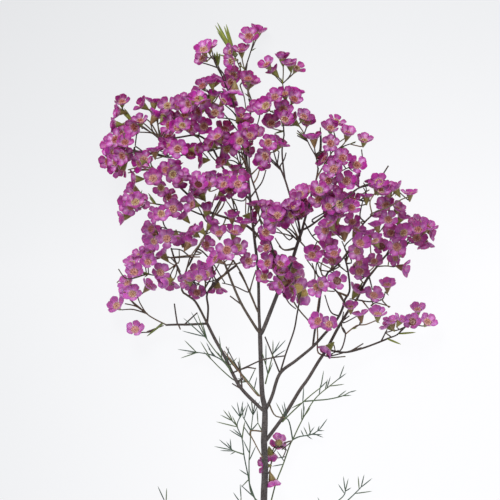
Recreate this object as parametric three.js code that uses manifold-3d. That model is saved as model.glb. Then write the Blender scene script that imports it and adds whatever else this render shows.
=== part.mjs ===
// A cut stem of waxflower lying on a table, in millimetres.
// The stem lies along Y with its tip at +Y, and Z is up from the table.
//
// The plan of the branch is drawn as it is seen from straight above, on a sheet ruled in
// small squares: x counts squares to the right and y counts squares towards the cut end.
// A third number, where there is one, is the height above the table in millimetres.

import * as THREE from 'three';
import { mergeVertices } from 'three/addons/utils/BufferGeometryUtils.js';
import Module from 'manifold-3d';

// ---------- driving dimensions ----------

const SQUARE = 0.8; // side of one square of the sheet
const SHEET_X = 269; // square that lies on the Y axis
const SHEET_Y = 337.1; // square that lies on the X axis

const CUT_RADIUS = 2.9; // main stem at its cut end
const PETAL_LENGTH = 5.9; // from the rim of the calyx to the petal's tip
const PETAL_TIP_WIDTH = 5.5; // the five petals leave small gaps between them
const CALYX_LENGTH = 5.5; // from the pedicel to the rim
const CALYX_FOOT = 0.5; // radius where the pedicel ends
const CALYX_RIM = 2.7; // radius of the rim
const DISC_HEIGHT = 1.5; // stamens and disc stand this far above the rim
const SIZE_LEAST = 0.92; // the smallest flower against these sizes
const SIZE_SPAN = 0.2; // and how much larger the largest one is
const OPEN_ANGLE = 76; // degrees from the flower's axis to its petals, seen from the front
const SIDE_ANGLE = 58; // the same in flowers that are seen from the side
const BUD_ANGLE = 22; // the same in flowers that are about to open
const ANGLE_SPAN = 20; // flowers that lean alike differ by this much
const FLOWER_MIDDLE = 3.6; // from the rim to the middle of a flower seen from the side
const NARROW_FROM = 25; // flowers that lean further than this have narrow petals
const NARROW_STRETCH = 1.15; // and these are longer by this, to cover as much
const PEDICEL_LENGTH = 11;
const PEDICEL_RADIUS = 0.2;
const TWIG_RADIUS = 0.6;
const SHOOT_TAPER = 0.85; // thickness of a shoot's twig at its end against its start
const NEEDLE_RADIUS = 0.42;
const NEEDLE_RISE = 8; // between the needles that bend up most and down most
const NEEDLE_UP = 0.6; // share of that which lies above the twig
const NEEDLE_LOWEST = 0.7; // height of a needle's tip over the table
const NEEDLE_SHARE = 0.6; // of the needle leaves, evenly, are in the solids
const GAP = 0.35; // between one node and the next
const FINE = [0.02, 0.03, 0.01, 0.04, 0.05, 0.005]; // features smaller than this are left out
const FLOWER_REACH = 13; // two flowers nearer than this in plan lie over each other
const FLOWER_STACK = 10; // and are this far apart in height where one is right over the other
const LIMB_REACH = 6; // a flower nearer than this to a limb in plan lies over it
const LIMB_STACK = 6; // and is this far above it
const LEAST_LIFT = 0.2; // flowers and limbs that ask for less than this are let be
const MOST_LIFT = 14; // a flower that would be lifted further may go below the others instead
const LEVEL_FROM = 60; // a flower that leans less than this stands up from its twig
const HANGS_FROM = 100; // and one that leans more than this hangs below it
const HANG = 0.5; // by this share of its pedicel
const LOW_OPEN = 6; // least height of a flower that faces up
const LOW_SIDE = 9.5; // least height of one that is seen from the side
const END_REACH = 1.3; // a twig runs on into a flower within this many pedicels' length
const END_AHEAD = 0.3; // that faces away from its end by this cosine or more
const BEND_COST = 5; // millimetres of a wrong length that a bent pedicel is worth
const LIMB_COST = 20; // and a pedicel that would run through a limb
const ROOT_SHARES = [0.2, 0.5, 0.8]; // a pedicel leaves a piece of twig at one of these
const ROOT_SPREAD = 0.12; // give or take half of this
const TEST_SHARES = [0.3, 0.45, 0.6, 0.75, 0.9]; // points of a pedicel kept off the limbs
const STEP = 0.1; // a twig's start is moved off the bark in steps of this
const SEED = 4711;

// ---------- the plan of the branch ----------

// Woody limbs: radius at the root, radius at the end, and the run of the limb.
const LIMBS = [
  [CUT_RADIUS, 2.6, [[262, 652, 3.16], [263, 600, 9], [264, 550, 14], [264, 500, 18],
    [265, 472, 20.5], [264, 442, 23]]],
  [2.6, 1.7, [[264, 442, 23], [265, 411, 26], [262, 391, 28], [260, 333, 34]]],
  [1.2, 0.7, [[260, 340, 33.2], [260, 333, 34], [259, 312, 36], [258, 271, 40], [254, 235, 42],
    [250, 198, 42], [247, 165, 39], [246, 150, 37], [247, 130, 32], [251, 108, 26],
    [249, 98, 23]]],
  // low limb on the left and its three forks
  [1.35, 1.1, [[263, 411, 26], [242, 390, 24], [232, 373, 22], [225, 358, 21], [215, 340, 20],
    [207, 324, 19]]],
  [0.85, 0.6, [[207, 324, 19], [187, 325, 16], [177, 325, 14.5], [165, 325.5, 13]]],
  [0.8, 0.5, [[207, 324, 19], [196, 303, 24], [188, 296, 27], [182, 291, 29], [181, 277, 32],
    [178, 270, 33], [174, 258, 35], [171, 248, 36]]],
  [0.7, 0.5, [[207, 324, 19], [208, 308, 23], [207, 294, 27], [216, 281, 30], [225, 274, 32],
    [236, 266, 34]]],
  [0.45, 0.3, [[177, 325, 14.5], [175, 312, 17], [174, 304, 19]]],
  [0.4, 0.3, [[184, 325, 15.5], [197, 313, 20]]],
  [0.5, 0.4, [[190, 298, 26.5], [186, 272, 27], [190, 263, 28], [198, 247, 30], [207, 231, 32],
    [214, 215, 34]]],
  [0.45, 0.4, [[207, 231, 32], [187, 233, 30], [179, 232, 29]]],
  // middle limb on the left and the thin one beside the main stem
  [1.1, 0.7, [[260, 333, 34], [256, 328, 36], [242, 305, 42], [233, 285, 47], [225, 264, 51]]],
  [0.65, 0.45, [[258, 312, 36], [249, 291, 40], [241, 273, 44], [233, 260, 47]]],
  [0.4, 0.3, [[242, 305, 42], [230, 296, 43]]],
  // middle limb on the right and its forks
  [1.65, 1.1, [[260, 335, 33.5], [264, 328, 35], [281, 285, 44], [291, 263, 48], [297, 245, 51],
    [302, 230, 54]]],
  [0.85, 0.5, [[302, 230, 54], [306, 215, 56], [310, 203, 58], [312, 190, 60], [316, 180, 61],
    [318, 168, 62]]],
  [0.75, 0.5, [[300, 236, 53], [298, 220, 53], [290, 196, 54], [285, 180, 55], [280, 168, 56]]],
  [0.5, 0.4, [[285, 180, 55], [283, 165, 57], [282, 150, 59], [284, 135, 60]]],
  [0.7, 0.35, [[302, 230, 54], [310, 226, 55], [330, 211, 57], [340, 203, 58], [357, 189, 59],
    [370, 185, 59], [379, 179, 60], [388, 166, 61]]],
  [0.4, 0.35, [[297, 247, 50.5], [285, 250, 50], [279, 246, 50]]],
  [0.5, 0.4, [[298, 241, 51.5], [293, 236, 54], [288, 231, 56]]],
  // long limb that crosses over the main stem to the upper left
  [1.0, 0.6, [[283, 281, 45], [275, 256, 48], [262, 240, 50], [247, 226, 51], [230, 219, 51],
    [212, 213, 49], [198, 204, 48], [183, 190, 47], [170, 178, 46], [164, 174, 45]]],
  [0.5, 0.4, [[212, 213, 49], [203, 215, 47], [190, 210, 44], [180, 207, 42], [169, 206, 40],
    [156, 204, 38]]],
  // upper left limb and its fork
  [0.75, 0.5, [[250, 200, 42], [236, 184, 41], [223, 168, 40], [213, 149, 39], [206, 140, 39],
    [196, 135, 38], [180, 137, 37], [169, 139, 36]]],
  [0.5, 0.4, [[213, 149, 39], [190, 153, 35], [169, 157, 32], [150, 153, 29], [141, 151, 28]]],
  [0.6, 0.45, [[246, 150, 37], [243, 140, 41], [240, 128, 44], [234, 105, 49], [231, 96, 51]]],
  // first low limb on the right and its forks
  [1.35, 0.5, [[265, 412, 26], [272, 397, 26], [280, 374, 27], [296, 361, 28], [313, 347, 28],
    [325, 334, 28], [337, 320, 28], [343, 308, 29], [345, 300, 30], [350, 290, 31],
    [348, 270, 33], [345, 258, 34]]],
  [0.45, 0.3, [[280, 374, 27], [272, 354, 27], [265, 337, 26]]],
  [0.5, 0.4, [[280, 374, 27], [286, 354, 30], [294, 331, 33], [297, 315, 35], [299, 304, 36]]],
  [0.4, 0.35, [[283, 283, 44], [297, 307, 39], [308, 320, 37]]],
  [0.7, 0.45, [[313, 347, 28], [315, 331, 31], [319, 308, 35], [321, 293, 38], [327, 274, 42],
    [335, 267, 43], [346, 255, 44], [353, 245, 45], [358, 232, 46], [364, 223, 47],
    [371, 216, 48]]],
  // second low limb on the right and its forks
  [1.5, 0.55, [[264, 444, 23], [273, 432, 22], [286, 414, 20], [300, 391, 18], [308, 380, 18],
    [319, 362, 17], [327, 350, 17], [337, 331, 18], [344, 319, 19], [349, 311, 20],
    [357, 300, 21], [366, 282, 23], [378, 266, 25], [388, 254, 27], [398, 248, 28]]],
  [0.65, 0.5, [[327, 350, 17], [345, 353, 14], [363, 349, 12], [382, 342, 10], [389, 339, 9.5]]],
  [0.4, 0.35, [[331, 351, 16.2], [341, 351, 18], [346, 335, 21], [343, 328, 22]]],
  [0.4, 0.3, [[357, 300, 21], [370, 302, 18], [380, 301, 17]]],
  // thin reddish twig over the main stem
  [0.4, 0.3, [[231, 374, 22.2], [247, 367, 30], [260, 361, 34.5], [272, 358, 35.5],
    [285, 356, 36]]],
  // slender tan twigs among the middle sprays
  [0.5, 0.4, [[274, 254, 48.3], [270, 240, 53], [264, 218, 56], [257, 195, 57], [252, 180, 56],
    [247, 165, 54], [243, 152, 52]]],
  [0.5, 0.4, [[222, 197, 50], [213, 213.5, 49], [207, 232, 42], [200, 245, 38], [192, 258, 34],
    [189, 265, 32]]],
];

// Flower sprays, from the lowest to the highest. Each has a name, its twigs, and its flowers.
// A twig runs from the limb, or from the twig before it. A flower has the place x, y of its
// middle on the sheet, the way it leans (0 is right, 90 is towards the tip), and how far it
// leans, in degrees: 0 looks straight up and 180 straight down. A 'bud' is nearly closed, and
// a flower that 'rests' lies on the table.
const SPRAYS = [
  ['spray_beside_stem', [[[264, 480, 17], [270, 472, 11], [272, 458, 10], [274, 449, 10]]],
    [[260, 467, 180, 75], [273.5, 486, 285, 95], [271, 459, 280, 120], [279, 443, 90, 165]]],
  ['spray_right_foot', [[[388, 339.3, 9.6], [398, 335.5, 9], [403, 330, 9], [408, 326, 9]],
    [[398, 335.5, 9], [404, 330, 12], [412, 322, 14]], [[383, 341.5, 10], [386, 333, 10]]],
    [[386, 323, 138, 85], [392, 319, 100, 70], [403, 317, 60, 75], [413, 321, 90, 15],
      [419, 307, 90, 55, 'rests'], [430, 320, 60, 40]]],
  ['spray_left_foot', [[[166, 325.4, 13], [155, 320, 11], [146, 314, 10], [139, 303, 10],
    [137, 297, 11]], [[146, 314, 10], [135, 306, 9], [130, 301, 9]], [[161, 324, 12],
    [151, 332, 10], [142, 333, 9]], [[146, 314, 10], [133, 310, 8], [124, 310, 7]]],
    [[114, 304, 130, 40], [134, 328, 100, 30], [150, 284, 50, 70, 'rests'], [123, 291, 170, 45],
      [125, 281, 130, 50], [132, 292, 90, 30]]],
  ['spray_right_hanging', [[[379, 301, 17], [384, 299, 16], [386, 292, 15]], [[379, 301, 17],
    [374, 304, 17]]],
    [[375, 293, 70, 40], [388, 282, 90, 60]]],
  ['spray_curved_twig', [[[346, 334.5, 21], [357, 326, 22], [366, 325, 22], [376, 321, 22]],
    [[360, 326, 22], [361, 320, 22]]],
    [[360, 311, 100, 80], [378, 311, 90, 60]]],
  ['spray_low_single', [[[339, 351, 18], [333, 354, 17]]],
    [[325, 352, 225, 80]]],
  ['spray_tip', [[[249, 97, 22.7], [248, 90, 21], [243, 80, 19], [240, 67, 17], [235, 56, 16]],
    [[242, 76, 18.5], [247, 62, 16], [252, 46, 13], [254, 38, 12]], [[248, 90, 21], [251, 84, 21]]],
    [[259, 26, 75, 80, 'rests'], [249, 33, 90, 35], [241, 46, 95, 65], [227, 51, 165, 60],
      [228, 62, 200, 50], [247, 82, 100, 40, 'bud'], [233, 74, 100, 15], [229, 83, 210, 35],
      [254, 79, 60, 65]]],
  ['spray_right_x5', [[[378, 266.6, 25], [387, 266, 22], [394, 267, 21]]],
    [[408, 269, 345, 75], [393, 259, 200, 50], [401, 256, 330, 60]]],
  ['spray_right_x4', [[[365, 284, 22.5], [361, 280, 23], [359, 277, 23]], [[361, 280, 23],
    [366, 276, 27], [370, 271, 29]]],
    [[359, 288, 60, 75], [351, 304, 90, 60], [374, 259, 100, 35], [360, 270, 90, 25],
      [362, 261, 30, 45]]],
  ['spray_right_tip', [[[399, 247.5, 28], [413, 240, 27], [421, 236, 26]], [[407, 243, 27.5],
    [409, 236, 28]]],
    [[426, 247, 280, 80], [435, 233, 340, 75], [429, 224, 60, 60], [422, 219, 70, 70],
      [415, 221, 120, 50], [417, 236, 90, 30]]],
  ['spray_left_m', [[[142, 151.2, 28], [134, 150, 27], [122, 147, 26], [115, 145, 25]],
    [[134, 150, 27], [122, 156, 24], [113, 159, 22]]],
    [[116, 150, 150, 120], [119, 171, 230, 115], [125, 128, 60, 90], [106, 145, 171, 45],
      [104, 161, 175, 50], [113, 170, 210, 50], [109, 153, 190, 60], [112, 163, 190, 50],
      [113, 138, 150, 45], [119, 130, 120, 60], [125, 140, 95, 35], [124, 155, 100, 30]]],
  ['spray_left_p', [[[180, 232.1, 29], [172, 231, 28], [164, 233, 27], [158, 236, 26]],
    [[174, 231.5, 28.2], [178, 236, 33], [184, 236, 34]]],
    [[155, 242, 336, 75], [184, 238, 80, 130], [190, 241, 60, 120], [148, 228, 160, 45],
      [147, 240, 190, 60], [191, 230, 140, 70], [155, 232, 60, 30], [176, 241, 270, 60],
      [167, 238, 90, 10]]],
  ['spray_left_q', [[[180, 272, 32.6], [176, 264, 32], [169, 257, 31], [160, 258, 29]],
    [[176, 264, 32], [168, 270, 28], [155, 275, 26], [146, 274, 25]]],
    [[170, 287, 270, 65], [160, 252, 130, 100], [138, 251, 120, 60], [131, 260, 100, 55],
      [161, 271, 60, 25], [134, 270, 90, 30], [148, 250, 120, 60], [148, 260, 90, 30],
      [163, 283, 200, 60, 'bud']]],
  ['spray_left_u', [[[207, 296, 26.4], [205, 290, 27], [198, 284, 28], [192, 282, 29]],
    [[205, 290, 27], [205, 282, 29]]],
    [[217, 292, 270, 105], [184, 282, 200, 50], [190, 276, 90, 60], [193, 271, 150, 60],
      [204, 266, 60, 70], [197, 291, 90, 25], [206, 272, 90, 35]]],
  ['spray_left_o', [[[158, 204.4, 38.3], [150, 203, 36], [140, 204, 34], [133, 206, 33]],
    [[150, 203, 36], [140, 196, 35]]],
    [[119, 218, 190, 85], [123, 204, 190, 60], [129, 186, 150, 80], [130, 209, 250, 35],
      [129, 196, 170, 50], [139, 201, 80, 20]]],
  ['spray_left_o2', [[[181, 207.3, 42.2], [176, 211, 43], [169, 213, 43]]],
    [[182, 214, 130, 85], [171, 197, 0, 35], [153, 215, 190, 45], [173, 208, 90, 15],
      [162, 213, 60, 15]]],
  ['spray_upper_left', [[[171, 138.7, 36], [162, 140, 36], [152, 133, 35], [140, 126, 34],
    [128, 119, 33]], [[162, 140, 36], [158, 126, 38], [158, 116, 39]], [[162, 140, 36],
    [168, 128, 40], [173, 121, 41]]],
    [[157, 113, 60, 100], [166, 113, 60, 120], [173, 116, 60, 120], [154, 98, 88, 88],
      [115, 111, 175, 80], [111, 124, 178, 85], [139, 103, 145, 70], [122, 99, 90, 45],
      [132, 128, 200, 40], [140, 118, 100, 50], [166, 104, 130, 35], [178, 103, 90, 35],
      [184, 113, 100, 40], [166, 124, 160, 50], [177, 126, 110, 30]]],
  ['spray_left_l', [[[169, 157, 32.5], [163, 152, 34], [158, 150, 35]]],
    [[154, 147, 95, 85], [163, 146, 200, 60], [143, 158, 110, 25], [166, 135, 120, 40],
      [170, 143, 100, 45]]],
  ['spray_left_n', [[[165, 174.4, 45], [154, 170, 43], [143, 169, 42], [137, 171, 41]]],
    [[131, 179, 180, 85], [136, 165, 200, 60], [160, 189, 230, 25], [166, 168, 100, 35],
      [153, 177, 100, 25]]],
  ['spray_left_n2', [[[172, 179.8, 46], [174, 172, 48], [178, 166, 49]]],
    [[175, 162, 80, 100], [182, 170, 70, 60], [180, 179, 60, 20], [178, 149, 90, 5]]],
  ['spray_upper_r1', [[[205, 139.5, 39], [202, 145, 42], [199, 150, 43]], [[202, 145, 42],
    [198, 136, 44]]],
    [[198, 161, 185, 85], [206, 144, 160, 100], [191, 151, 90, 30], [200, 150, 0, 60],
      [192, 127, 20, 40], [204, 126, 90, 10], [208, 143, 150, 60]]],
  ['spray_upper_r2', [[[219, 160.5, 39.5], [221, 151, 42], [221, 144, 43]]],
    [[214, 141, 60, 95], [221, 160, 150, 60], [223, 139, 350, 40], [225, 126, 80, 50],
      [229, 150, 340, 35], [216, 135, 120, 50]]],
  ['spray_right_x2', [[[386, 256.2, 26.6], [391, 247, 31], [395, 241, 33]], [[391, 247, 31],
    [385, 247, 33]]],
    [[404, 230, 80, 45], [391, 231, 90, 30], [381, 245, 100, 20], [397, 246, 90, 10]]],
  ['spray_right_z1', [[[320, 300, 36.6], [317, 292, 39], [314, 287, 41]], [[317, 292, 39],
    [322, 288, 43], [328, 283, 44]]],
    [[314, 288, 200, 40], [323, 283, 20, 40], [337, 280, 90, 10]]],
  ['spray_right_z3', [[[307, 319, 37.1], [312, 325, 37], [318, 328, 37]]],
    [[316, 320, 150, 35], [329, 323, 90, 15]]],
  ['spray_middle_v2', [[[299, 305, 36], [299, 297, 38], [297, 290, 39]]],
    [[303, 298, 270, 120, 'bud'], [290, 291, 200, 60], [297, 264, 60, 80],
      [300, 285, 60, 140, 'bud'], [295, 279, 150, 140, 'bud'], [286, 280, 130, 50],
      [296, 277, 100, 140]]],
  ['spray_middle_t5', [[[267, 246.2, 49.2], [266, 252, 52], [264, 258, 53]]],
    [[265, 262, 160, 40], [264, 247, 160, 40]]],
  ['spray_middle_t1', [[[253, 228, 42], [259, 220, 44], [262, 212, 45]], [[259, 220, 44],
    [265, 226, 45]]],
    [[256, 201, 100, 90], [264, 203, 90, 65], [255, 216, 0, 80], [267, 232, 20, 20]]],
  ['spray_right_x3', [[[357, 234, 46], [362, 240, 47], [364, 246, 47]], [[362, 240, 47],
    [369, 243, 47]]],
    [[355, 252, 200, 30], [361, 241, 60, 35], [373, 238, 120, 60], [368, 231, 100, 90],
      [358, 227, 60, 60]]],
  ['spray_right_h3', [[[371, 216.3, 48], [377, 213, 48], [385, 209, 49], [393, 205, 49],
    [400, 200, 50]], [[377, 213, 48], [383, 219, 49], [388, 222, 50]]],
    [[383, 202, 100, 95], [376, 222, 100, 90], [379, 212, 120, 70], [399, 206, 60, 60],
      [403, 214, 60, 75], [388, 218, 80, 25]]],
  ['spray_left_s1', [[[190, 196.5, 47.5], [189, 191, 50], [191, 186, 52]]],
    [[186, 196, 130, 95], [200, 192, 120, 120], [189, 204, 170, 60], [193, 185, 180, 60],
      [197, 177, 100, 60]]],
  ['spray_middle_v1', [[[279, 268.5, 46.5], [279, 277, 48], [278, 283, 48]], [[279, 277, 48],
    [274, 272, 50]], [[279, 277, 48], [282, 270, 50], [284, 265, 51]]],
    [[264, 275, 90, 30], [288, 257, 80, 80], [277, 286, 200, 60], [281, 270, 90, 60],
      [275, 264, 100, 60], [282, 261, 60, 50], [272, 257, 160, 60], [275, 287, 254, 60]]],
  ['spray_middle_t3', [[[234, 262, 47], [228, 257, 50], [222, 256, 52]], [[228, 257, 50],
    [240, 253, 52]]],
    [[213, 257, 150, 60], [209, 244, 20, 40], [239, 246, 60, 20], [249, 260, 90, 15],
      [227, 250, 90, 0]]],
  ['spray_middle_t2', [[[226, 217.6, 50.8], [223, 225, 53], [218, 227, 54]], [[223, 225, 53],
    [232, 224, 55]]],
    [[207, 206, 90, 80, 'bud'], [213, 220, 60, 80], [198, 226, 130, 75], [219, 230, 95, 50],
      [235, 229, 76, 60], [232, 213, 90, 70], [244, 219, 85, 75]]],
  ['spray_middle_s2', [[[240, 223, 51], [236, 206, 54], [228, 194, 56], [219, 186, 57]],
    [[228, 194, 56], [236, 186, 57], [240, 183, 58]]],
    [[211, 173, 100, 100], [219, 175, 80, 100], [221, 200, 270, 100], [208, 182, 100, 50],
      [230, 175, 60, 60], [222, 183, 130, 40], [242, 190, 300, 35], [229, 188, 100, 25],
      [241, 177, 60, 30]]],
  ['spray_axis_r3', [[[247, 160, 38.2], [244, 152, 46], [243, 147, 48]], [[244, 152, 46],
    [252, 144, 48], [253, 136, 49]]],
    [[235, 165, 90, 90], [250, 149, 0, 50], [246, 120, 60, 40], [256, 131, 80, 40],
      [240, 141, 90, 5], [254, 106, 130, 50], [242, 113, 60, 60], [246, 129, 90, 40],
      [232, 139, 90, 40]]],
  ['spray_upper_k', [[[231, 97, 50.6], [226, 93, 53], [219, 92, 54], [211, 95, 55],
    [202, 102, 55]]],
    [[225, 97, 200, 90], [214, 92, 75, 90], [235, 95, 270, 90], [219, 78, 60, 80],
      [201, 84, 120, 45], [211, 79, 100, 75], [190, 103, 200, 45], [198, 97, 100, 40],
      [183, 98, 110, 45], [215, 111, 90, 30], [226, 99, 50, 60], [194, 94, 150, 60],
      [205, 106, 300, 60], [196, 113, 200, 50], [186, 106, 200, 50], [204, 98, 150, 110, 'bud'],
      [233, 104, 270, 110, 'bud']]],
  ['spray_tip_left', [[[232, 99, 50.5], [225, 84, 56], [219, 68, 60], [213, 56, 62]]],
    [[200, 58, 150, 45], [209, 44, 95, 60]]],
  ['spray_right_w1', [[[289, 232, 55.6], [282, 227, 57], [276, 223, 58]], [[282, 227, 57],
    [281, 217, 59]]],
    [[277, 205, 100, 70], [264, 212, 180, 70], [285, 208, 150, 50], [282, 220, 260, 30],
      [271, 217, 300, 40], [270, 222, 200, 50], [286, 214, 90, 50], [270, 208, 160, 60],
      [294, 214, 60, 40]]],
  ['spray_right_w4', [[[304, 222, 55], [312, 236, 58], [318, 242, 59]], [[312, 236, 58],
    [325, 229, 59], [333, 229, 59]]],
    [[344, 230, 90, 120], [313, 253, 60, 35], [329, 244, 90, 50], [323, 231, 200, 30],
      [328, 221, 120, 60], [337, 229, 40, 60]]],
  ['spray_right_z2', [[[336, 266, 43.1], [333, 268, 45], [331, 269, 46]]],
    [[332, 258, 90, 40], [317, 250, 60, 50]]],
  ['spray_right_w2', [[[297, 215, 53.2], [298, 210, 56], [298, 205, 57]]],
    [[293, 200, 130, 50], [307, 188, 80, 60], [299, 192, 110, 40], [300, 211, 100, 40],
      [302, 203, 60, 40], [291, 204, 90, 50], [308, 206, 24, 65]]],
  ['spray_right_w3', [[[328, 212.2, 57], [326, 206, 60], [328, 202, 61]], [[326, 206, 60],
    [334, 207, 61]], [[326, 206, 60], [330, 213, 62], [335, 219, 62]]],
    [[328, 195, 90, 70], [337, 213, 90, 70], [340, 194, 60, 60], [318, 198, 100, 30],
      [329, 205, 60, 30], [335, 190, 80, 50], [331, 213, 94, 40]]],
  ['spray_right_h1', [[[353, 192.4, 58.6], [352, 200, 61], [353, 207, 61]], [[352, 200, 61],
    [358, 200, 61]]],
    [[366, 193, 90, 90], [352, 220, 90, 30], [352, 196, 90, 60], [352, 206, 60, 30]]],
  ['spray_right_h2', [[[379, 179.3, 60], [386, 182, 61], [392, 188, 61], [399, 192, 61]]],
    [[371, 178, 120, 90], [377, 184, 80, 60], [393, 186, 120, 80], [409, 190, 90, 75],
      [384, 190, 120, 50], [378, 180, 90, 40], [388, 186, 100, 60]]],
  ['spray_upper_r4', [[[281, 170.5, 55.7], [270, 160, 58], [266, 153, 59]], [[277, 166, 56.6],
    [279, 152, 59]]],
    [[263, 162, 60, 30], [281, 141, 60, 75], [268, 143, 90, 0]]],
  ['spray_tip_right', [[[284, 136, 60], [283, 118, 62], [284, 104, 63], [284, 94, 64],
    [282, 82, 65]], [[283, 118, 62], [275, 114, 63], [269, 111, 64]]],
    [[271, 69, 130, 95], [297, 90, 70, 90], [282, 55, 95, 80], [265, 63, 125, 55],
      [298, 66, 60, 50], [284, 92, 100, 50], [295, 98, 60, 40], [261, 107, 90, 25],
      [271, 122, 90, 30], [274, 96, 110, 30], [283, 109, 90, 20], [289, 62, 100, 70],
      [276, 106, 200, 80]]],
  ['spray_right_f', [[[317.7, 169, 62], [316, 158, 63], [310, 147, 64], [304, 134, 65]]],
    [[290, 119, 140, 70], [307, 120, 85, 40], [313, 135, 95, 80]]],
  ['spray_right_g1', [[[316.5, 178, 61.2], [324, 165, 64], [332, 152, 66], [337, 139, 67]],
    [[332, 152, 66], [345, 146, 68], [355, 143, 69]]],
    [[338, 119, 60, 60], [348, 131, 75, 60], [364, 138, 80, 55], [330, 126, 90, 45],
      [330, 143, 90, 15]]],
  ['spray_right_g2', [[[313, 188, 60.4], [325, 182, 63], [338, 173, 66], [348, 168, 68]],
    [[331.5, 177.5, 64.5], [340, 184, 66], [348, 184, 67]]],
    [[358, 180, 0, 95], [321, 158, 150, 70], [334, 163, 200, 30], [342, 157, 90, 25],
      [328, 180, 90, 15], [346, 180, 90, 20], [357, 164, 60, 25]]],
];

// Needle leaves on flower sprays: root x, y and tip x, y.
const SPRAY_NEEDLES = {
  spray_right_foot: [[400, 335, 417, 333], [386, 341, 402, 345]],
  spray_left_foot: [[162, 325, 146, 337]],
  spray_tip: [[236, 58, 217, 53], [236, 56, 226, 37], [235, 56, 217, 30], [235, 56, 229, 34]],
  spray_right_f: [[305, 141, 296, 133]],
  spray_tip_right: [[283, 131, 274, 134]],
  spray_upper_left: [[137, 116, 118, 108]],
  spray_left_o: [[156, 203, 148, 193], [155, 203, 149, 197]],
  spray_left_p: [[164, 233, 146, 250]],
  spray_left_q: [[150, 274, 126, 268]],
};

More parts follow.
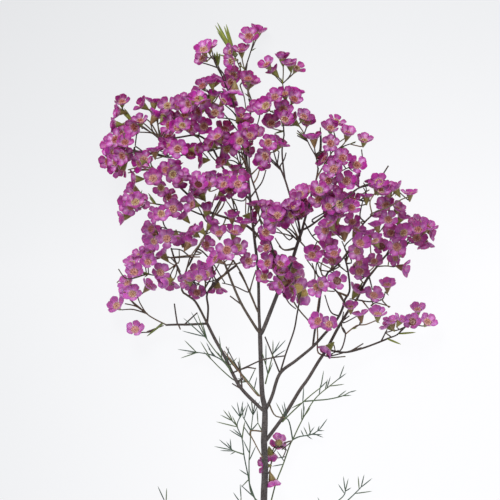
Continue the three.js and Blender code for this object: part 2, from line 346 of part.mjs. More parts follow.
// Leafy shoots: name, twigs, and needle leaves given by root x, y and tip x, y.
const SHOOTS = [
  ['shoot_left_a', [[[264, 520, 16.5], [256, 503, 12], [250, 487, 9], [248, 477, 8],
    [244, 457, 8], [242, 440, 9], [237, 427, 11], [240, 418, 13]],
    [[244, 456, 8], [235, 453, 6], [231, 451, 6]], [[242, 440, 9], [244, 426, 7]],
    [[237, 427, 11], [231, 421, 9]]],
    [[238, 428, 216, 423], [232, 422, 220, 416], [231, 421, 223, 411], [232, 423, 228, 412],
      [240, 418, 231, 406], [240, 418, 237, 403], [240, 418, 243, 402], [240, 420, 246, 407],
      [242, 439, 229, 431], [241, 437, 233, 430], [243, 436, 245, 422], [232, 452, 214, 448],
      [231, 451, 219, 441], [232, 452, 226, 443], [231, 451, 230, 440], [234, 453, 220, 452],
      [235, 454, 230, 456], [248, 477, 239, 471], [244, 428, 252, 440], [238, 429, 232, 417]]],
  ['shoot_left_b', [[[264, 508, 17.3], [255, 500, 13], [250, 490, 11], [249, 466, 13],
    [250, 448, 14], [251, 432, 14], [253, 415, 12]], [[251, 432, 14], [243, 418, 15]],
    [[251, 432, 14], [258, 424, 13]]],
    [[253, 415, 251, 398], [253, 415, 256, 400], [254, 417, 260, 402], [243, 418, 242, 404],
      [244, 420, 248, 405], [251, 462, 256, 447], [250, 455, 243, 441], [258, 424, 257, 410],
      [258, 424, 264, 436], [253, 416, 247, 403], [250, 480, 241, 489], [255, 499, 240, 486]]],
  ['shoot_left_far', [[[231, 371, 21.5], [222, 361, 15], [212, 356, 11], [203, 354, 9],
    [196, 353, 8]]],
    [[196, 353, 184, 341], [197, 353, 177, 350], [197, 353, 180, 359], [199, 353, 186, 354],
      [213, 356, 206, 343], [216, 358, 208, 349]]],
  ['shoot_left_limb', [[[234, 377, 22.4], [226, 364, 27], [215, 351, 30], [205, 337, 32]]],
    [[205, 337, 191, 312], [206, 338, 197, 313], [204, 336, 182, 331], [206, 338, 183, 318],
      [207, 340, 202, 322], [226, 364, 229, 347], [229, 367, 237, 358], [222, 359, 219, 336],
      [227, 365, 217, 352]]],
  ['shoot_left_inner', [[[261, 398, 27.5], [256, 392, 24], [248, 382, 18], [241, 374, 15],
    [232, 365, 14]], [[248, 382, 18], [236, 382, 15], [222, 371, 12], [211, 360, 10]]],
    [[211, 360, 200, 342], [214, 363, 203, 352], [232, 365, 221, 350], [241, 374, 239, 358],
      [240, 373, 229, 357], [248, 382, 237, 379], [249, 383, 256, 368], [254, 390, 257, 377],
      [236, 382, 230, 372]]],
  ['shoot_stem_right', [[[265, 386, 28], [268, 374, 32], [271, 362, 34], [273, 354, 34]],
    [[268, 374, 32], [266, 366, 33]]],
    [[273, 354, 286, 340], [273, 355, 280, 341], [273, 354, 273, 340], [272, 359, 286, 350],
      [266, 366, 266, 344], [267, 376, 273, 363], [266, 366, 262, 352]]],
  ['shoot_right_a', [[[264, 530, 16], [270, 508, 12], [276, 485, 10], [283, 467, 9],
    [290, 447, 9], [293, 441, 9.5], [301, 424, 11], [311, 406, 13], [319, 396, 14],
    [330, 387, 14], [340, 379, 13]], [[293, 441, 9.5], [300, 438, 7], [312, 436, 5],
    [320, 431, 4.5]], [[293, 441, 9.5], [289, 422, 8], [283, 419, 7]]],
    [[340, 379, 345, 366], [337, 381, 347, 374], [330, 387, 345, 385], [328, 390, 331, 377],
      [326, 391, 328, 380], [320, 396, 321, 385], [303, 420, 305, 407], [305, 417, 311, 408],
      [302, 422, 302, 409], [320, 431, 328, 420], [318, 432, 325, 432], [314, 435, 324, 439],
      [312, 436, 323, 436], [311, 436, 309, 423], [308, 437, 304, 428], [304, 437, 301, 431],
      [309, 437, 315, 428], [318, 432, 320, 427], [307, 437, 313, 441], [285, 463, 277, 452],
      [286, 458, 276, 460], [288, 452, 281, 449], [284, 466, 272, 468]]],
  ['shoot_right_b', [[[278, 427.5, 21], [285, 420, 23], [294, 411, 25], [304, 402, 26],
    [312, 395, 27], [321, 388, 27]], [[304, 402, 26], [316, 401, 24], [328, 400, 22],
    [342, 397, 20], [350, 393, 19]]],
    [[321, 388, 324, 371], [321, 388, 328, 381], [303, 403, 304, 387], [303, 403, 291, 409],
      [350, 393, 357, 391], [343, 397, 352, 396], [338, 398, 347, 391], [285, 420, 276, 403],
      [287, 418, 284, 402], [286, 419, 282, 405], [304, 403, 304, 416]]],
  ['shoot_below', [[[263, 588, 10.5], [250, 562, 9], [238, 540, 8], [240, 515, 7], [241, 500, 7]],
    [[250, 562, 9], [256, 560, 6], [268, 558, 5], [285, 545, 6], [300, 530, 8], [325, 513, 8],
      [343, 499, 8], [346, 493, 9]], [[325, 513, 8], [342, 507, 6], [352, 499, 6], [362, 489, 6]],
    [[250, 562, 9], [215, 545, 8], [185, 525, 7], [164, 503, 7]]],
    [[346, 493, 344, 478], [345, 495, 339, 486], [346, 493, 352, 489], [347, 494, 349, 480],
      [362, 489, 373, 480], [362, 489, 365, 476], [360, 491, 359, 478], [356, 496, 373, 493],
      [325, 513, 318, 499], [310, 524, 322, 518], [300, 530, 297, 514], [241, 500, 240, 486],
      [240, 505, 233, 494], [240, 515, 250, 503], [238, 538, 227, 528], [164, 503, 157, 488],
      [166, 504, 166, 490], [185, 525, 176, 514], [200, 536, 188, 538], [190, 529, 196, 516],
      [280, 554, 292, 549], [246, 554, 252, 540]]],
];

// ---------- layout by rule ----------

const V = THREE.Vector3;

// A point of the sheet in millimetres.
function place([x, y, z]) {
  return new V((x - SHEET_X) * SQUARE, (SHEET_Y - y) * SQUARE, z);
}

// Even random numbers from 0 to 1, the same in every run.
function dice(seed) {
  let state = seed;
  return () => {
    state = (state * 16807) % 2147483647;
    return state / 2147483647;
  };
}

// The point of a set of runs that is nearest to x, y in plan.
function footOn(runs, x, y) {
  let best = null;
  for (const run of runs) {
    for (let i = 1; i < run.length; i += 1) {
      const a = place(run[i - 1]);
      const b = place(run[i]);
      const ex = b.x - a.x;
      const ey = b.y - a.y;
      const t = Math.min(1, Math.max(0, ((x - a.x) * ex + (y - a.y) * ey) / (ex * ex + ey * ey)));
      const dx = x - (a.x + ex * t);
      const dy = y - (a.y + ey * t);
      const far = dx * dx + dy * dy;
      if (best === null || far < best.far) {
        best = { far, point: new V(a.x + ex * t, a.y + ey * t, a.z + (b.z - a.z) * t) };
      }
    }
  }
  return best;
}

// How far a flower stands above its twig for the way it leans: up, level or below.
function standing(lean) {
  if (lean <= LEVEL_FROM) return 1;
  if (lean <= HANGS_FROM) return (HANGS_FROM - lean) / (HANGS_FROM - LEVEL_FROM);
  return -HANG;
}

// The nearest height over z at which a flower at x, y lies clear of the others, or the nearest
// one under z where it would be lifted too far.
function clearHeight(x, y, z, lowest, others) {
  const near = [];
  for (const other of others) {
    const dx = x - other.x;
    const dy = y - other.y;
    const need = other.stack * (1 - (dx * dx + dy * dy) / (other.reach * other.reach));
    if (need > LEAST_LIFT) near.push({ z: other.z, need });
  }
  const clear = (height) => near.every((o) => Math.abs(height - o.z) >= o.need - 0.01);
  const up = [z, ...near.map((o) => o.z + o.need)].filter((h) => h >= z && clear(h));
  const down = near.map((o) => o.z - o.need).filter((h) => h <= z && h >= lowest && clear(h));
  const lift = Math.min(...up) - z;
  const drop = z - Math.max(...down);
  return lift > MOST_LIFT && drop < lift ? z - drop : z + lift;
}

// The places of all flowers. Each stands off its twig by the length of its pedicel and calyx,
// clear of the limbs and the flowers that were placed before it.
function layFlowers() {
  const laid = [];
  const limbs = [];
  for (const [, , run] of LIMBS) {
    for (let i = 1; i < run.length; i += 1) {
      const a = place(run[i - 1]);
      const b = place(run[i]);
      for (const point of [a.clone().lerp(b, 0.5), b]) {
        limbs.push({ x: point.x, y: point.y, z: point.z, reach: LIMB_REACH, stack: LIMB_STACK });
      }
    }
  }
  const throwDie = dice(SEED);
  for (const [name, twigs, flowers] of SPRAYS) {
    for (const [sx, sy, way, lean, note] of flowers) {
      const at = place([sx, sy, 0]);
      const ahead = axisOf({ way, lean });
      at.x -= FLOWER_MIDDLE * ahead.x;
      at.y -= FLOWER_MIDDLE * ahead.y;
      const foot = footOn(twigs, at.x, at.y);
      const off = PEDICEL_LENGTH * PEDICEL_LENGTH - foot.far;
      at.z = foot.point.z + standing(lean) * Math.sqrt(Math.max(0, off));
      const lowest = lean > LEVEL_FROM ? LOW_SIDE : LOW_OPEN;
      at.z = clearHeight(at.x, at.y, Math.max(at.z, lowest), lowest, [...limbs, ...laid]);
      const f = {
        spray: name, x: at.x, y: at.y, z: at.z, way, lean, reach: FLOWER_REACH,
        stack: FLOWER_STACK, size: SIZE_LEAST + SIZE_SPAN * throwDie(), spin: 72 * throwDie(),
        spread: throwDie(), bud: note === 'bud',
      };
      if (note === 'rests') f.z -= Math.min(...corolla(f, 0).tips.map((tip) => tip.z));
      laid.push(f);
    }
  }
  return laid;
}

// ---------- closed bodies ----------

// Joins two rings of corners, given by their numbers, with a band of triangles.
function band(faces, low, high) {
  let i = 0;
  let j = 0;
  while (i < low.length || j < high.length) {
    const a = low[i % low.length];
    const b = high[j % high.length];
    if (j >= high.length || (i < low.length && (i + 1) / low.length <= (j + 1) / high.length)) {
      faces.push(a, low[(i + 1) % low.length], b);
      i += 1;
    } else {
      faces.push(a, high[(j + 1) % high.length], b);
      j += 1;
    }
  }
}

// A closed body out of its corners and faces.
function body(corners, faces) {
  const geometry = new THREE.BufferGeometry();
  geometry.setAttribute('position',
    new THREE.Float32BufferAttribute(corners.flatMap((c) => [c.x, c.y, c.z]), 3));
  geometry.setIndex(faces);
  return geometry;
}

// A direction across `along` that is as near as can be to `hint`.
function across(along, hint) {
  return hint.clone().addScaledVector(along, -hint.dot(along)).normalize();
}

// A direction across `along` with nothing to go by.
function anyAcross(along) {
  return across(along, Math.abs(along.z) > 0.9 ? new V(0, -1, 0) : new V(0, 0, 1));
}

// The reach of the corners of a section with few sides that is as large as a round one.
function reachOf(radius, sides) {
  const turn = (2 * Math.PI) / sides;
  return radius * Math.sqrt(turn / Math.sin(turn));
}

// The corners of a ring round a point. The first one lies towards u.
function ring(corners, centre, along, u, radius, sides) {
  const v = new V().crossVectors(along, u);
  const numbers = [];
  for (let i = 0; i < sides; i += 1) {
    const angle = (i / sides) * 2 * Math.PI;
    numbers.push(corners.length);
    corners.push(centre.clone()
      .addScaledVector(u, radius * Math.cos(angle))
      .addScaledVector(v, radius * Math.sin(angle)));
  }
  return numbers;
}

// A fan that closes a ring. It faces back along the limb unless `ahead` is set.
function close(faces, numbers, ahead) {
  for (let i = 2; i < numbers.length; i += 1) {
    faces.push(numbers[0], ahead ? numbers[i - 1] : numbers[i], ahead ? numbers[i] : numbers[i - 1]);
  }
}

// The direction of a run of points at each of them.
function directions(points) {
  return points.map((point, i) => new V().subVectors(
    points[Math.min(points.length - 1, i + 1)], points[Math.max(0, i - 1)]).normalize());
}

// A round limb through points, thinner towards its end.
function limb(points, startRadius, endRadius, sides, grow) {
  const corners = [];
  const faces = [];
  const rings = [];
  const ways = directions(points);
  let u = anyAcross(ways[0]);
  points.forEach((point, i) => {
    u = across(ways[i], u);
    const radius = startRadius + (endRadius - startRadius) * (i / (points.length - 1));
    rings.push(ring(corners, point, ways[i], u, reachOf(radius, sides) + grow, sides));
  });
  close(faces, rings[0], false);
  for (let i = 1; i < rings.length; i += 1) band(faces, rings[i - 1], rings[i]);
  close(faces, rings[rings.length - 1], true);
  return body(corners, faces);
}

// The way a flower faces, and the foot of its calyx.
function axisOf(f) {
  const lean = THREE.MathUtils.degToRad(f.lean);
  const way = THREE.MathUtils.degToRad(f.way);
  return new V(Math.cos(way) * Math.sin(lean), Math.sin(way) * Math.sin(lean), Math.cos(lean));
}

function footOfCalyx(f) {
  return new V(f.x, f.y, f.z).addScaledVector(axisOf(f), -CALYX_LENGTH * f.size);
}

// How far a point lies outside the bark of the nearest woody limb.
function offBark(point) {
  let least = Infinity;
  for (const [start, end, run] of LIMBS) {
    for (let i = 1; i < run.length; i += 1) {
      const a = place(run[i - 1]);
      const b = place(run[i]);
      const along = new V().subVectors(b, a);
      const t = new V().subVectors(point, a).dot(along) / along.lengthSq();
      const share = Math.min(1, Math.max(0, t));
      const radius = start + (end - start) * ((i - 1 + share) / (run.length - 1));
      const beyond = Math.max(0, t - 1) * along.length();
      const far = a.addScaledVector(along, share).distanceTo(point) - reachOf(radius, 5);
      least = Math.min(least, i === run.length - 1 ? Math.max(far, beyond) : far);
    }
  }
  return least;
}

// Whether a straight pedicel from a to b would run into a limb.
function throughLimb(a, b) {
  return TEST_SHARES.some(
    (share) => offBark(a.clone().lerp(b, share)) < GAP + PEDICEL_RADIUS);
}

// Where a pedicel leaves its twigs: the place that gives it its usual length, lets it run up
// into the flower without a sharp bend, and keeps it off the limbs.
function rootOf(twigs, f) {
  const axis = axisOf(f);
  const foot = footOfCalyx(f);
  let best = null;
  for (const twig of twigs) {
    for (let i = 1; i < twig.length; i += 1) {
      for (const share of ROOT_SHARES) {
        const at = twig[i - 1].clone().lerp(twig[i], share + ROOT_SPREAD * (f.spread - 0.5));
        const run = new V().subVectors(foot, at);
        const length = run.length();
        const cost = Math.abs(length - PEDICEL_LENGTH)
          + BEND_COST * (1 - run.dot(axis) / length) + (throughLimb(at, foot) ? LIMB_COST : 0);
        if (best === null || cost < best.cost) best = { cost, at };
      }
    }
  }
  return best.at;
}

// The direction across a flower that its first petal lies next to.
function turnOf(f) {
  const axis = axisOf(f);
  return anyAcross(axis).applyAxisAngle(axis, THREE.MathUtils.degToRad(f.spin));
}

// The corners of the petals' tips, and the top of the stamens and disc. A flower that is seen
// from the side has narrow petals, with one corner each.
function corolla(f, grow) {
  const axis = axisOf(f);
  const u = turnOf(f);
  const v = new V().crossVectors(axis, u);
  const rim = new V(f.x, f.y, f.z);
  const turned = Math.min(1, f.lean / 90);
  const opening = THREE.MathUtils.degToRad(f.bud ? BUD_ANGLE
    : OPEN_ANGLE + (SIDE_ANGLE - OPEN_ANGLE) * turned + ANGLE_SPAN * (f.spread - 0.5));
  const narrow = f.lean > NARROW_FROM;
  const length = (narrow ? NARROW_STRETCH : 1) * PETAL_LENGTH * f.size + 3 * grow;
  const wide = CALYX_RIM * f.size + length * Math.sin(opening);
  const high = length * Math.cos(opening);
  const half = Math.atan(((PETAL_TIP_WIDTH * f.size) / 2 + 2 * grow) / wide);
  const tips = [];
  for (let i = 0; i < 5; i += 1) {
    for (const aside of narrow ? [0] : [-half, half]) {
      const angle = ((i + 0.5) / 5) * 2 * Math.PI + aside;
      const reach = wide / Math.cos(aside);
      tips.push(rim.clone()
        .addScaledVector(u, reach * Math.cos(angle))
        .addScaledVector(v, reach * Math.sin(angle))
        .addScaledVector(axis, high));
    }
  }
  const middle = rim.clone().addScaledVector(axis, DISC_HEIGHT * f.size + grow);
  return { tips, narrow, middle };
}

// One flower on the end of a run of points, as one closed body: the twig or pedicel, the cone
// of the calyx, and five petals whose upper face rises to the ring of stamens. Petals of a
// flower that is seen from the side are narrow.
function flower(f, run, radius, grow) {
  const axis = axisOf(f);
  const rim = new V(f.x, f.y, f.z).addScaledVector(axis, -grow);
  const foot = footOfCalyx(f);
  const corners = [];
  const faces = [];

  const u = turnOf(f);
  const points = [...run, foot];
  const ways = directions(points);
  ways[points.length - 1] = axis;
  const rings = [];
  let hint = u;
  for (let i = points.length - 1; i >= 0; i -= 1) {
    hint = across(ways[i], hint);
    const wide = reachOf(i === points.length - 1 ? CALYX_FOOT : radius, 3);
    rings.unshift(ring(corners, points[i], ways[i], hint, wide + grow, 3));
  }
  const cup = ring(corners, rim, axis, u, CALYX_RIM * f.size + grow, 5);
  close(faces, rings[0], false);
  for (let i = 1; i < rings.length; i += 1) band(faces, rings[i - 1], rings[i]);
  band(faces, rings[rings.length - 1], cup);

  const { tips, narrow, middle } = corolla(f, grow);
  const first = corners.length;
  corners.push(...tips, middle);
  const top = corners.length - 1;
  for (let i = 0; i < 5; i += 1) {
    const [near, next] = [cup[i], cup[(i + 1) % 5]];
    const left = first + (narrow ? i : 2 * i);
    const right = narrow ? left : left + 1;
    faces.push(near, next, right, top, near, left, top, right, next);
    if (!narrow) faces.push(near, right, left, top, left, right);
  }
  return body(corners, faces);
}

// A needle leaf: three sides, drawn to a point.
function needle(root, tip, grow) {
  const along = new V().subVectors(tip, root).normalize();
  const corners = [];
  const faces = [];
  const low = ring(corners, root, along, anyAcross(along), NEEDLE_RADIUS + grow, 3);
  const top = corners.length;
  corners.push(tip);
  close(faces, low, false);
  for (let i = 0; i < 3; i += 1) faces.push(low[i], low[(i + 1) % 3], top);
  return body(corners, faces);
}

// ---------- joining ----------

const wasm = await Module();
wasm.setup();

function solid(geometry) {
  const merged = mergeVertices(geometry, 1e-4);
  return new wasm.Manifold(new wasm.Mesh({
    numProp: 3,
    vertProperties: merged.attributes.position.array,
    triVerts: new Uint32Array(merged.index.array),
  }));
}

function joined(geometries) {
  let whole = solid(geometries[0]);
  for (const geometry of geometries.slice(1)) whole = whole.add(solid(geometry));
  return whole;
}

function woodyStem(grow) {
  return joined(LIMBS.map(([start, end, run], i) => {
    const sides = i < 2 ? 5 : start > 1.2 ? 4 : 3;
    return limb(run.map(place), start, end, sides, grow);
  }));
}

function needleBodies(name, twigs, needles, grow) {
  const throwDie = dice(SEED + name.length);
  return needles.map(([x0, y0, x1, y1]) => {
    const root = place([x0, y0, 0]);
    const tip = place([x1, y1, 0]);
    const foot = footOn(twigs, root.x, root.y).point;
    tip.z = Math.max(NEEDLE_LOWEST, foot.z + NEEDLE_RISE * (throwDie() - 1 + NEEDLE_UP));
    return needle(foot, tip, grow);
  }).filter((_, i) => Math.ceil((i + 1) * NEEDLE_SHARE) > Math.ceil(i * NEEDLE_SHARE));
}

const flowersLaid = layFlowers();

// The runs of the twigs of a spray or shoot. The first one starts just off the bark of its
// limb, and any other one that would start there springs from the first one instead.
function runsOf(twigs) {
  const runs = twigs.map((twig) => twig.map(place));
  const start = runs[0][0];
  const first = start.clone();
  const run = new V().subVectors(runs[0][1], first);
  const steps = Math.ceil(run.length() / STEP);
  for (let i = 0; i < steps && offBark(start) < GAP + TWIG_RADIUS / 2; i += 1) {
    start.copy(first).addScaledVector(run, i / steps);
  }
  for (const other of runs.slice(1)) {
    if (offBark(other[0]) < GAP + TWIG_RADIUS / 2) other[0] = start.clone().lerp(runs[0][1], 0.3);
  }
  return runs;
}

// A spray: each twig runs on into the flower that is nearest to its end, and the other
// flowers stand on pedicels of their own.
function spraySolid([name, twigs], grow) {
  const waiting = flowersLaid.filter((f) => f.spray === name);
  const runs = runsOf(twigs);
  const bodies = runs.map((points) => {
    const end = points[points.length - 1];
    let best = null;
    for (const f of waiting) {
      const run = new V().subVectors(footOfCalyx(f), end);
      const far = run.length();
      const ahead = run.dot(axisOf(f)) / far;
      if (far < END_REACH * PEDICEL_LENGTH && ahead > END_AHEAD && !throughLimb(end, footOfCalyx(f))
        && (best === null || far < best.far)) {
        best = { far, f };
      }
    }
    if (best === null) return limb(points, TWIG_RADIUS, TWIG_RADIUS, 3, grow);
    waiting.splice(waiting.indexOf(best.f), 1);
    return flower(best.f, points, TWIG_RADIUS, grow);
  });
  for (const f of waiting) bodies.push(flower(f, [rootOf(runs, f)], PEDICEL_RADIUS, grow));
  return joined([...bodies, ...needleBodies(name, twigs, SPRAY_NEEDLES[name] ?? [], grow)]);
}

function shootSolid([name, twigs, needles], grow) {
  const bodies = runsOf(twigs).map((run) => limb(run, TWIG_RADIUS, TWIG_RADIUS * SHOOT_TAPER, 3, grow));
  return joined([...bodies, ...needleBodies(name, twigs, needles, grow)]);
}

// Whether the boxes of two solids meet.
function near(a, b) {
  const p = a.boundingBox();
  const q = b.boundingBox();
  return [0, 1, 2].every((k) => p.min[k] <= q.max[k] + GAP && q.min[k] <= p.max[k] + GAP);
}

// Whether no two corners of a solid lie on one spot, to a thousandth of a millimetre.
function cornersApart(whole) {
  const { vertProperties } = whole.getMesh();
  const spots = new Set();
  for (let i = 0; i < vertProperties.length; i += 3) {
    spots.add([0, 1, 2].map((k) => vertProperties[i + k].toFixed(3)).join());
  }
  return spots.size === vertProperties.length / 3;
}

// Every node in turn gives way to those before it, by the gap. Small features are left out by
// the first size that keeps the corners apart.
function clearOf(whole, grownOnes) {
  let kept = whole;
  for (const grown of grownOnes) {
    if (near(kept, grown)) kept = kept.subtract(grown);
  }
  const largest = (fine) => kept.simplify(fine).decompose()
    .sort((a, b) => b.volume() - a.volume())[0];
  const sizes = FINE.filter((fine) => cornersApart(largest(fine)));
  return largest(sizes[0] ?? FINE[0]);
}

function meshOf(name, whole, material) {
  const made = whole.getMesh();
  const geometry = new THREE.BufferGeometry();
  geometry.setAttribute('position', new THREE.BufferAttribute(made.vertProperties, 3));
  geometry.setIndex(new THREE.BufferAttribute(made.triVerts, 1));
  const mesh = new THREE.Mesh(geometry, material);
  mesh.name = name;
  return mesh;
}

// ---------- the branch ----------

const bark = new THREE.MeshStandardMaterial({ color: '#5f544d', roughness: 0.8, metalness: 0 });
const petals = new THREE.MeshStandardMaterial({ color: '#b440a4', roughness: 0.6, metalness: 0 });
const leaves = new THREE.MeshStandardMaterial({ color: '#61765a', roughness: 0.7, metalness: 0 });

const branch = new THREE.Group();
branch.name = 'waxflower_stem';

const grown = [woodyStem(GAP)];
branch.add(meshOf('woody_stem', clearOf(woodyStem(0), []), bark));
for (const spray of SPRAYS) {
  branch.add(meshOf(spray[0], clearOf(spraySolid(spray, 0), grown), petals.clone()));
  grown.push(spraySolid(spray, GAP));
}
for (const shoot of SHOOTS) {
  branch.add(meshOf(shoot[0], clearOf(shootSolid(shoot, 0), grown), leaves.clone()));
  grown.push(shootSolid(shoot, GAP));
}

export default branch;
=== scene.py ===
# %% [markdown]
# # A cut stem of waxflower
#
# A waxflower stem is one woody stem that forks again and again into thin twigs. Each twig ends
# in a spray of small flowers on stalks of their own, and low on the stem there are green
# shoots with needle leaves. The stem lies on a table, seen from straight above.
#
# The solids that come with the frame hold the stem, every spray and every shoot at their real
# size and place, with few faces. The looks are grown around them here: the same plan of the
# branch is followed again, with round twigs, dished petals, stamens and bark.

# %% Load the frame
import math

import bpy
import numpy as np
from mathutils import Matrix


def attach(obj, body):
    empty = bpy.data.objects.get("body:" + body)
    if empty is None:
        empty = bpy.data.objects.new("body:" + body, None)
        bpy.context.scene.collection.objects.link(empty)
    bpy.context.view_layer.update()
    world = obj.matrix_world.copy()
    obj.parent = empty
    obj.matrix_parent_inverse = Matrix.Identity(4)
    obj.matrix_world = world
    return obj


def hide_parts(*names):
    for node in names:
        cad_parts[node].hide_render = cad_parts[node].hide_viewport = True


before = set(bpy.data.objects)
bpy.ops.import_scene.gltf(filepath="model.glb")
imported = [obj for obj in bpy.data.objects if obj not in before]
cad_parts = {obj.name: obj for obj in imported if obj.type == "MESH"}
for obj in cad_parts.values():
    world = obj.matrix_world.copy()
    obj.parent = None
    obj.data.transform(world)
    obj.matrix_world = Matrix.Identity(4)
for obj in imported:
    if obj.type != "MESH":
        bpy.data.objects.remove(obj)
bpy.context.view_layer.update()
print("solids:", len(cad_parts))

# %% [markdown]
# ## Sizes
#
# The open flowers of this kind of waxflower are about 17 mm across, and all other sizes follow
# from that. They are in millimetres, as a florist would measure them, and turned to metres
# where a mesh is made. The sizes that only one step needs are given in that step.

# %% Sizes that many steps share
MM = 0.001  # metres
SQUARE = 0.8  # one square of the sheet that the plan is drawn on
SHEET_X = 269  # square that lies on the Y axis
SHEET_Y = 337.1  # square that lies on the X axis
SEED = 4711

CUT_RADIUS = 2.9  # of the stem at its cut end
TWIG_RADIUS = 0.6  # at the root of a twig
PEDICEL_LENGTH = 11  # a pedicel is the stalk of one flower
PEDICEL_RADIUS = 0.2
PETAL_LENGTH = 5.9
CALYX_LENGTH = 5.5
CALYX_FOOT = 0.5  # radius where the stalk ends
CALYX_RIM = 2.7  # radius where the petals sit
print("flower across:", round(2 * (CALYX_RIM + PETAL_LENGTH), 1), "mm")
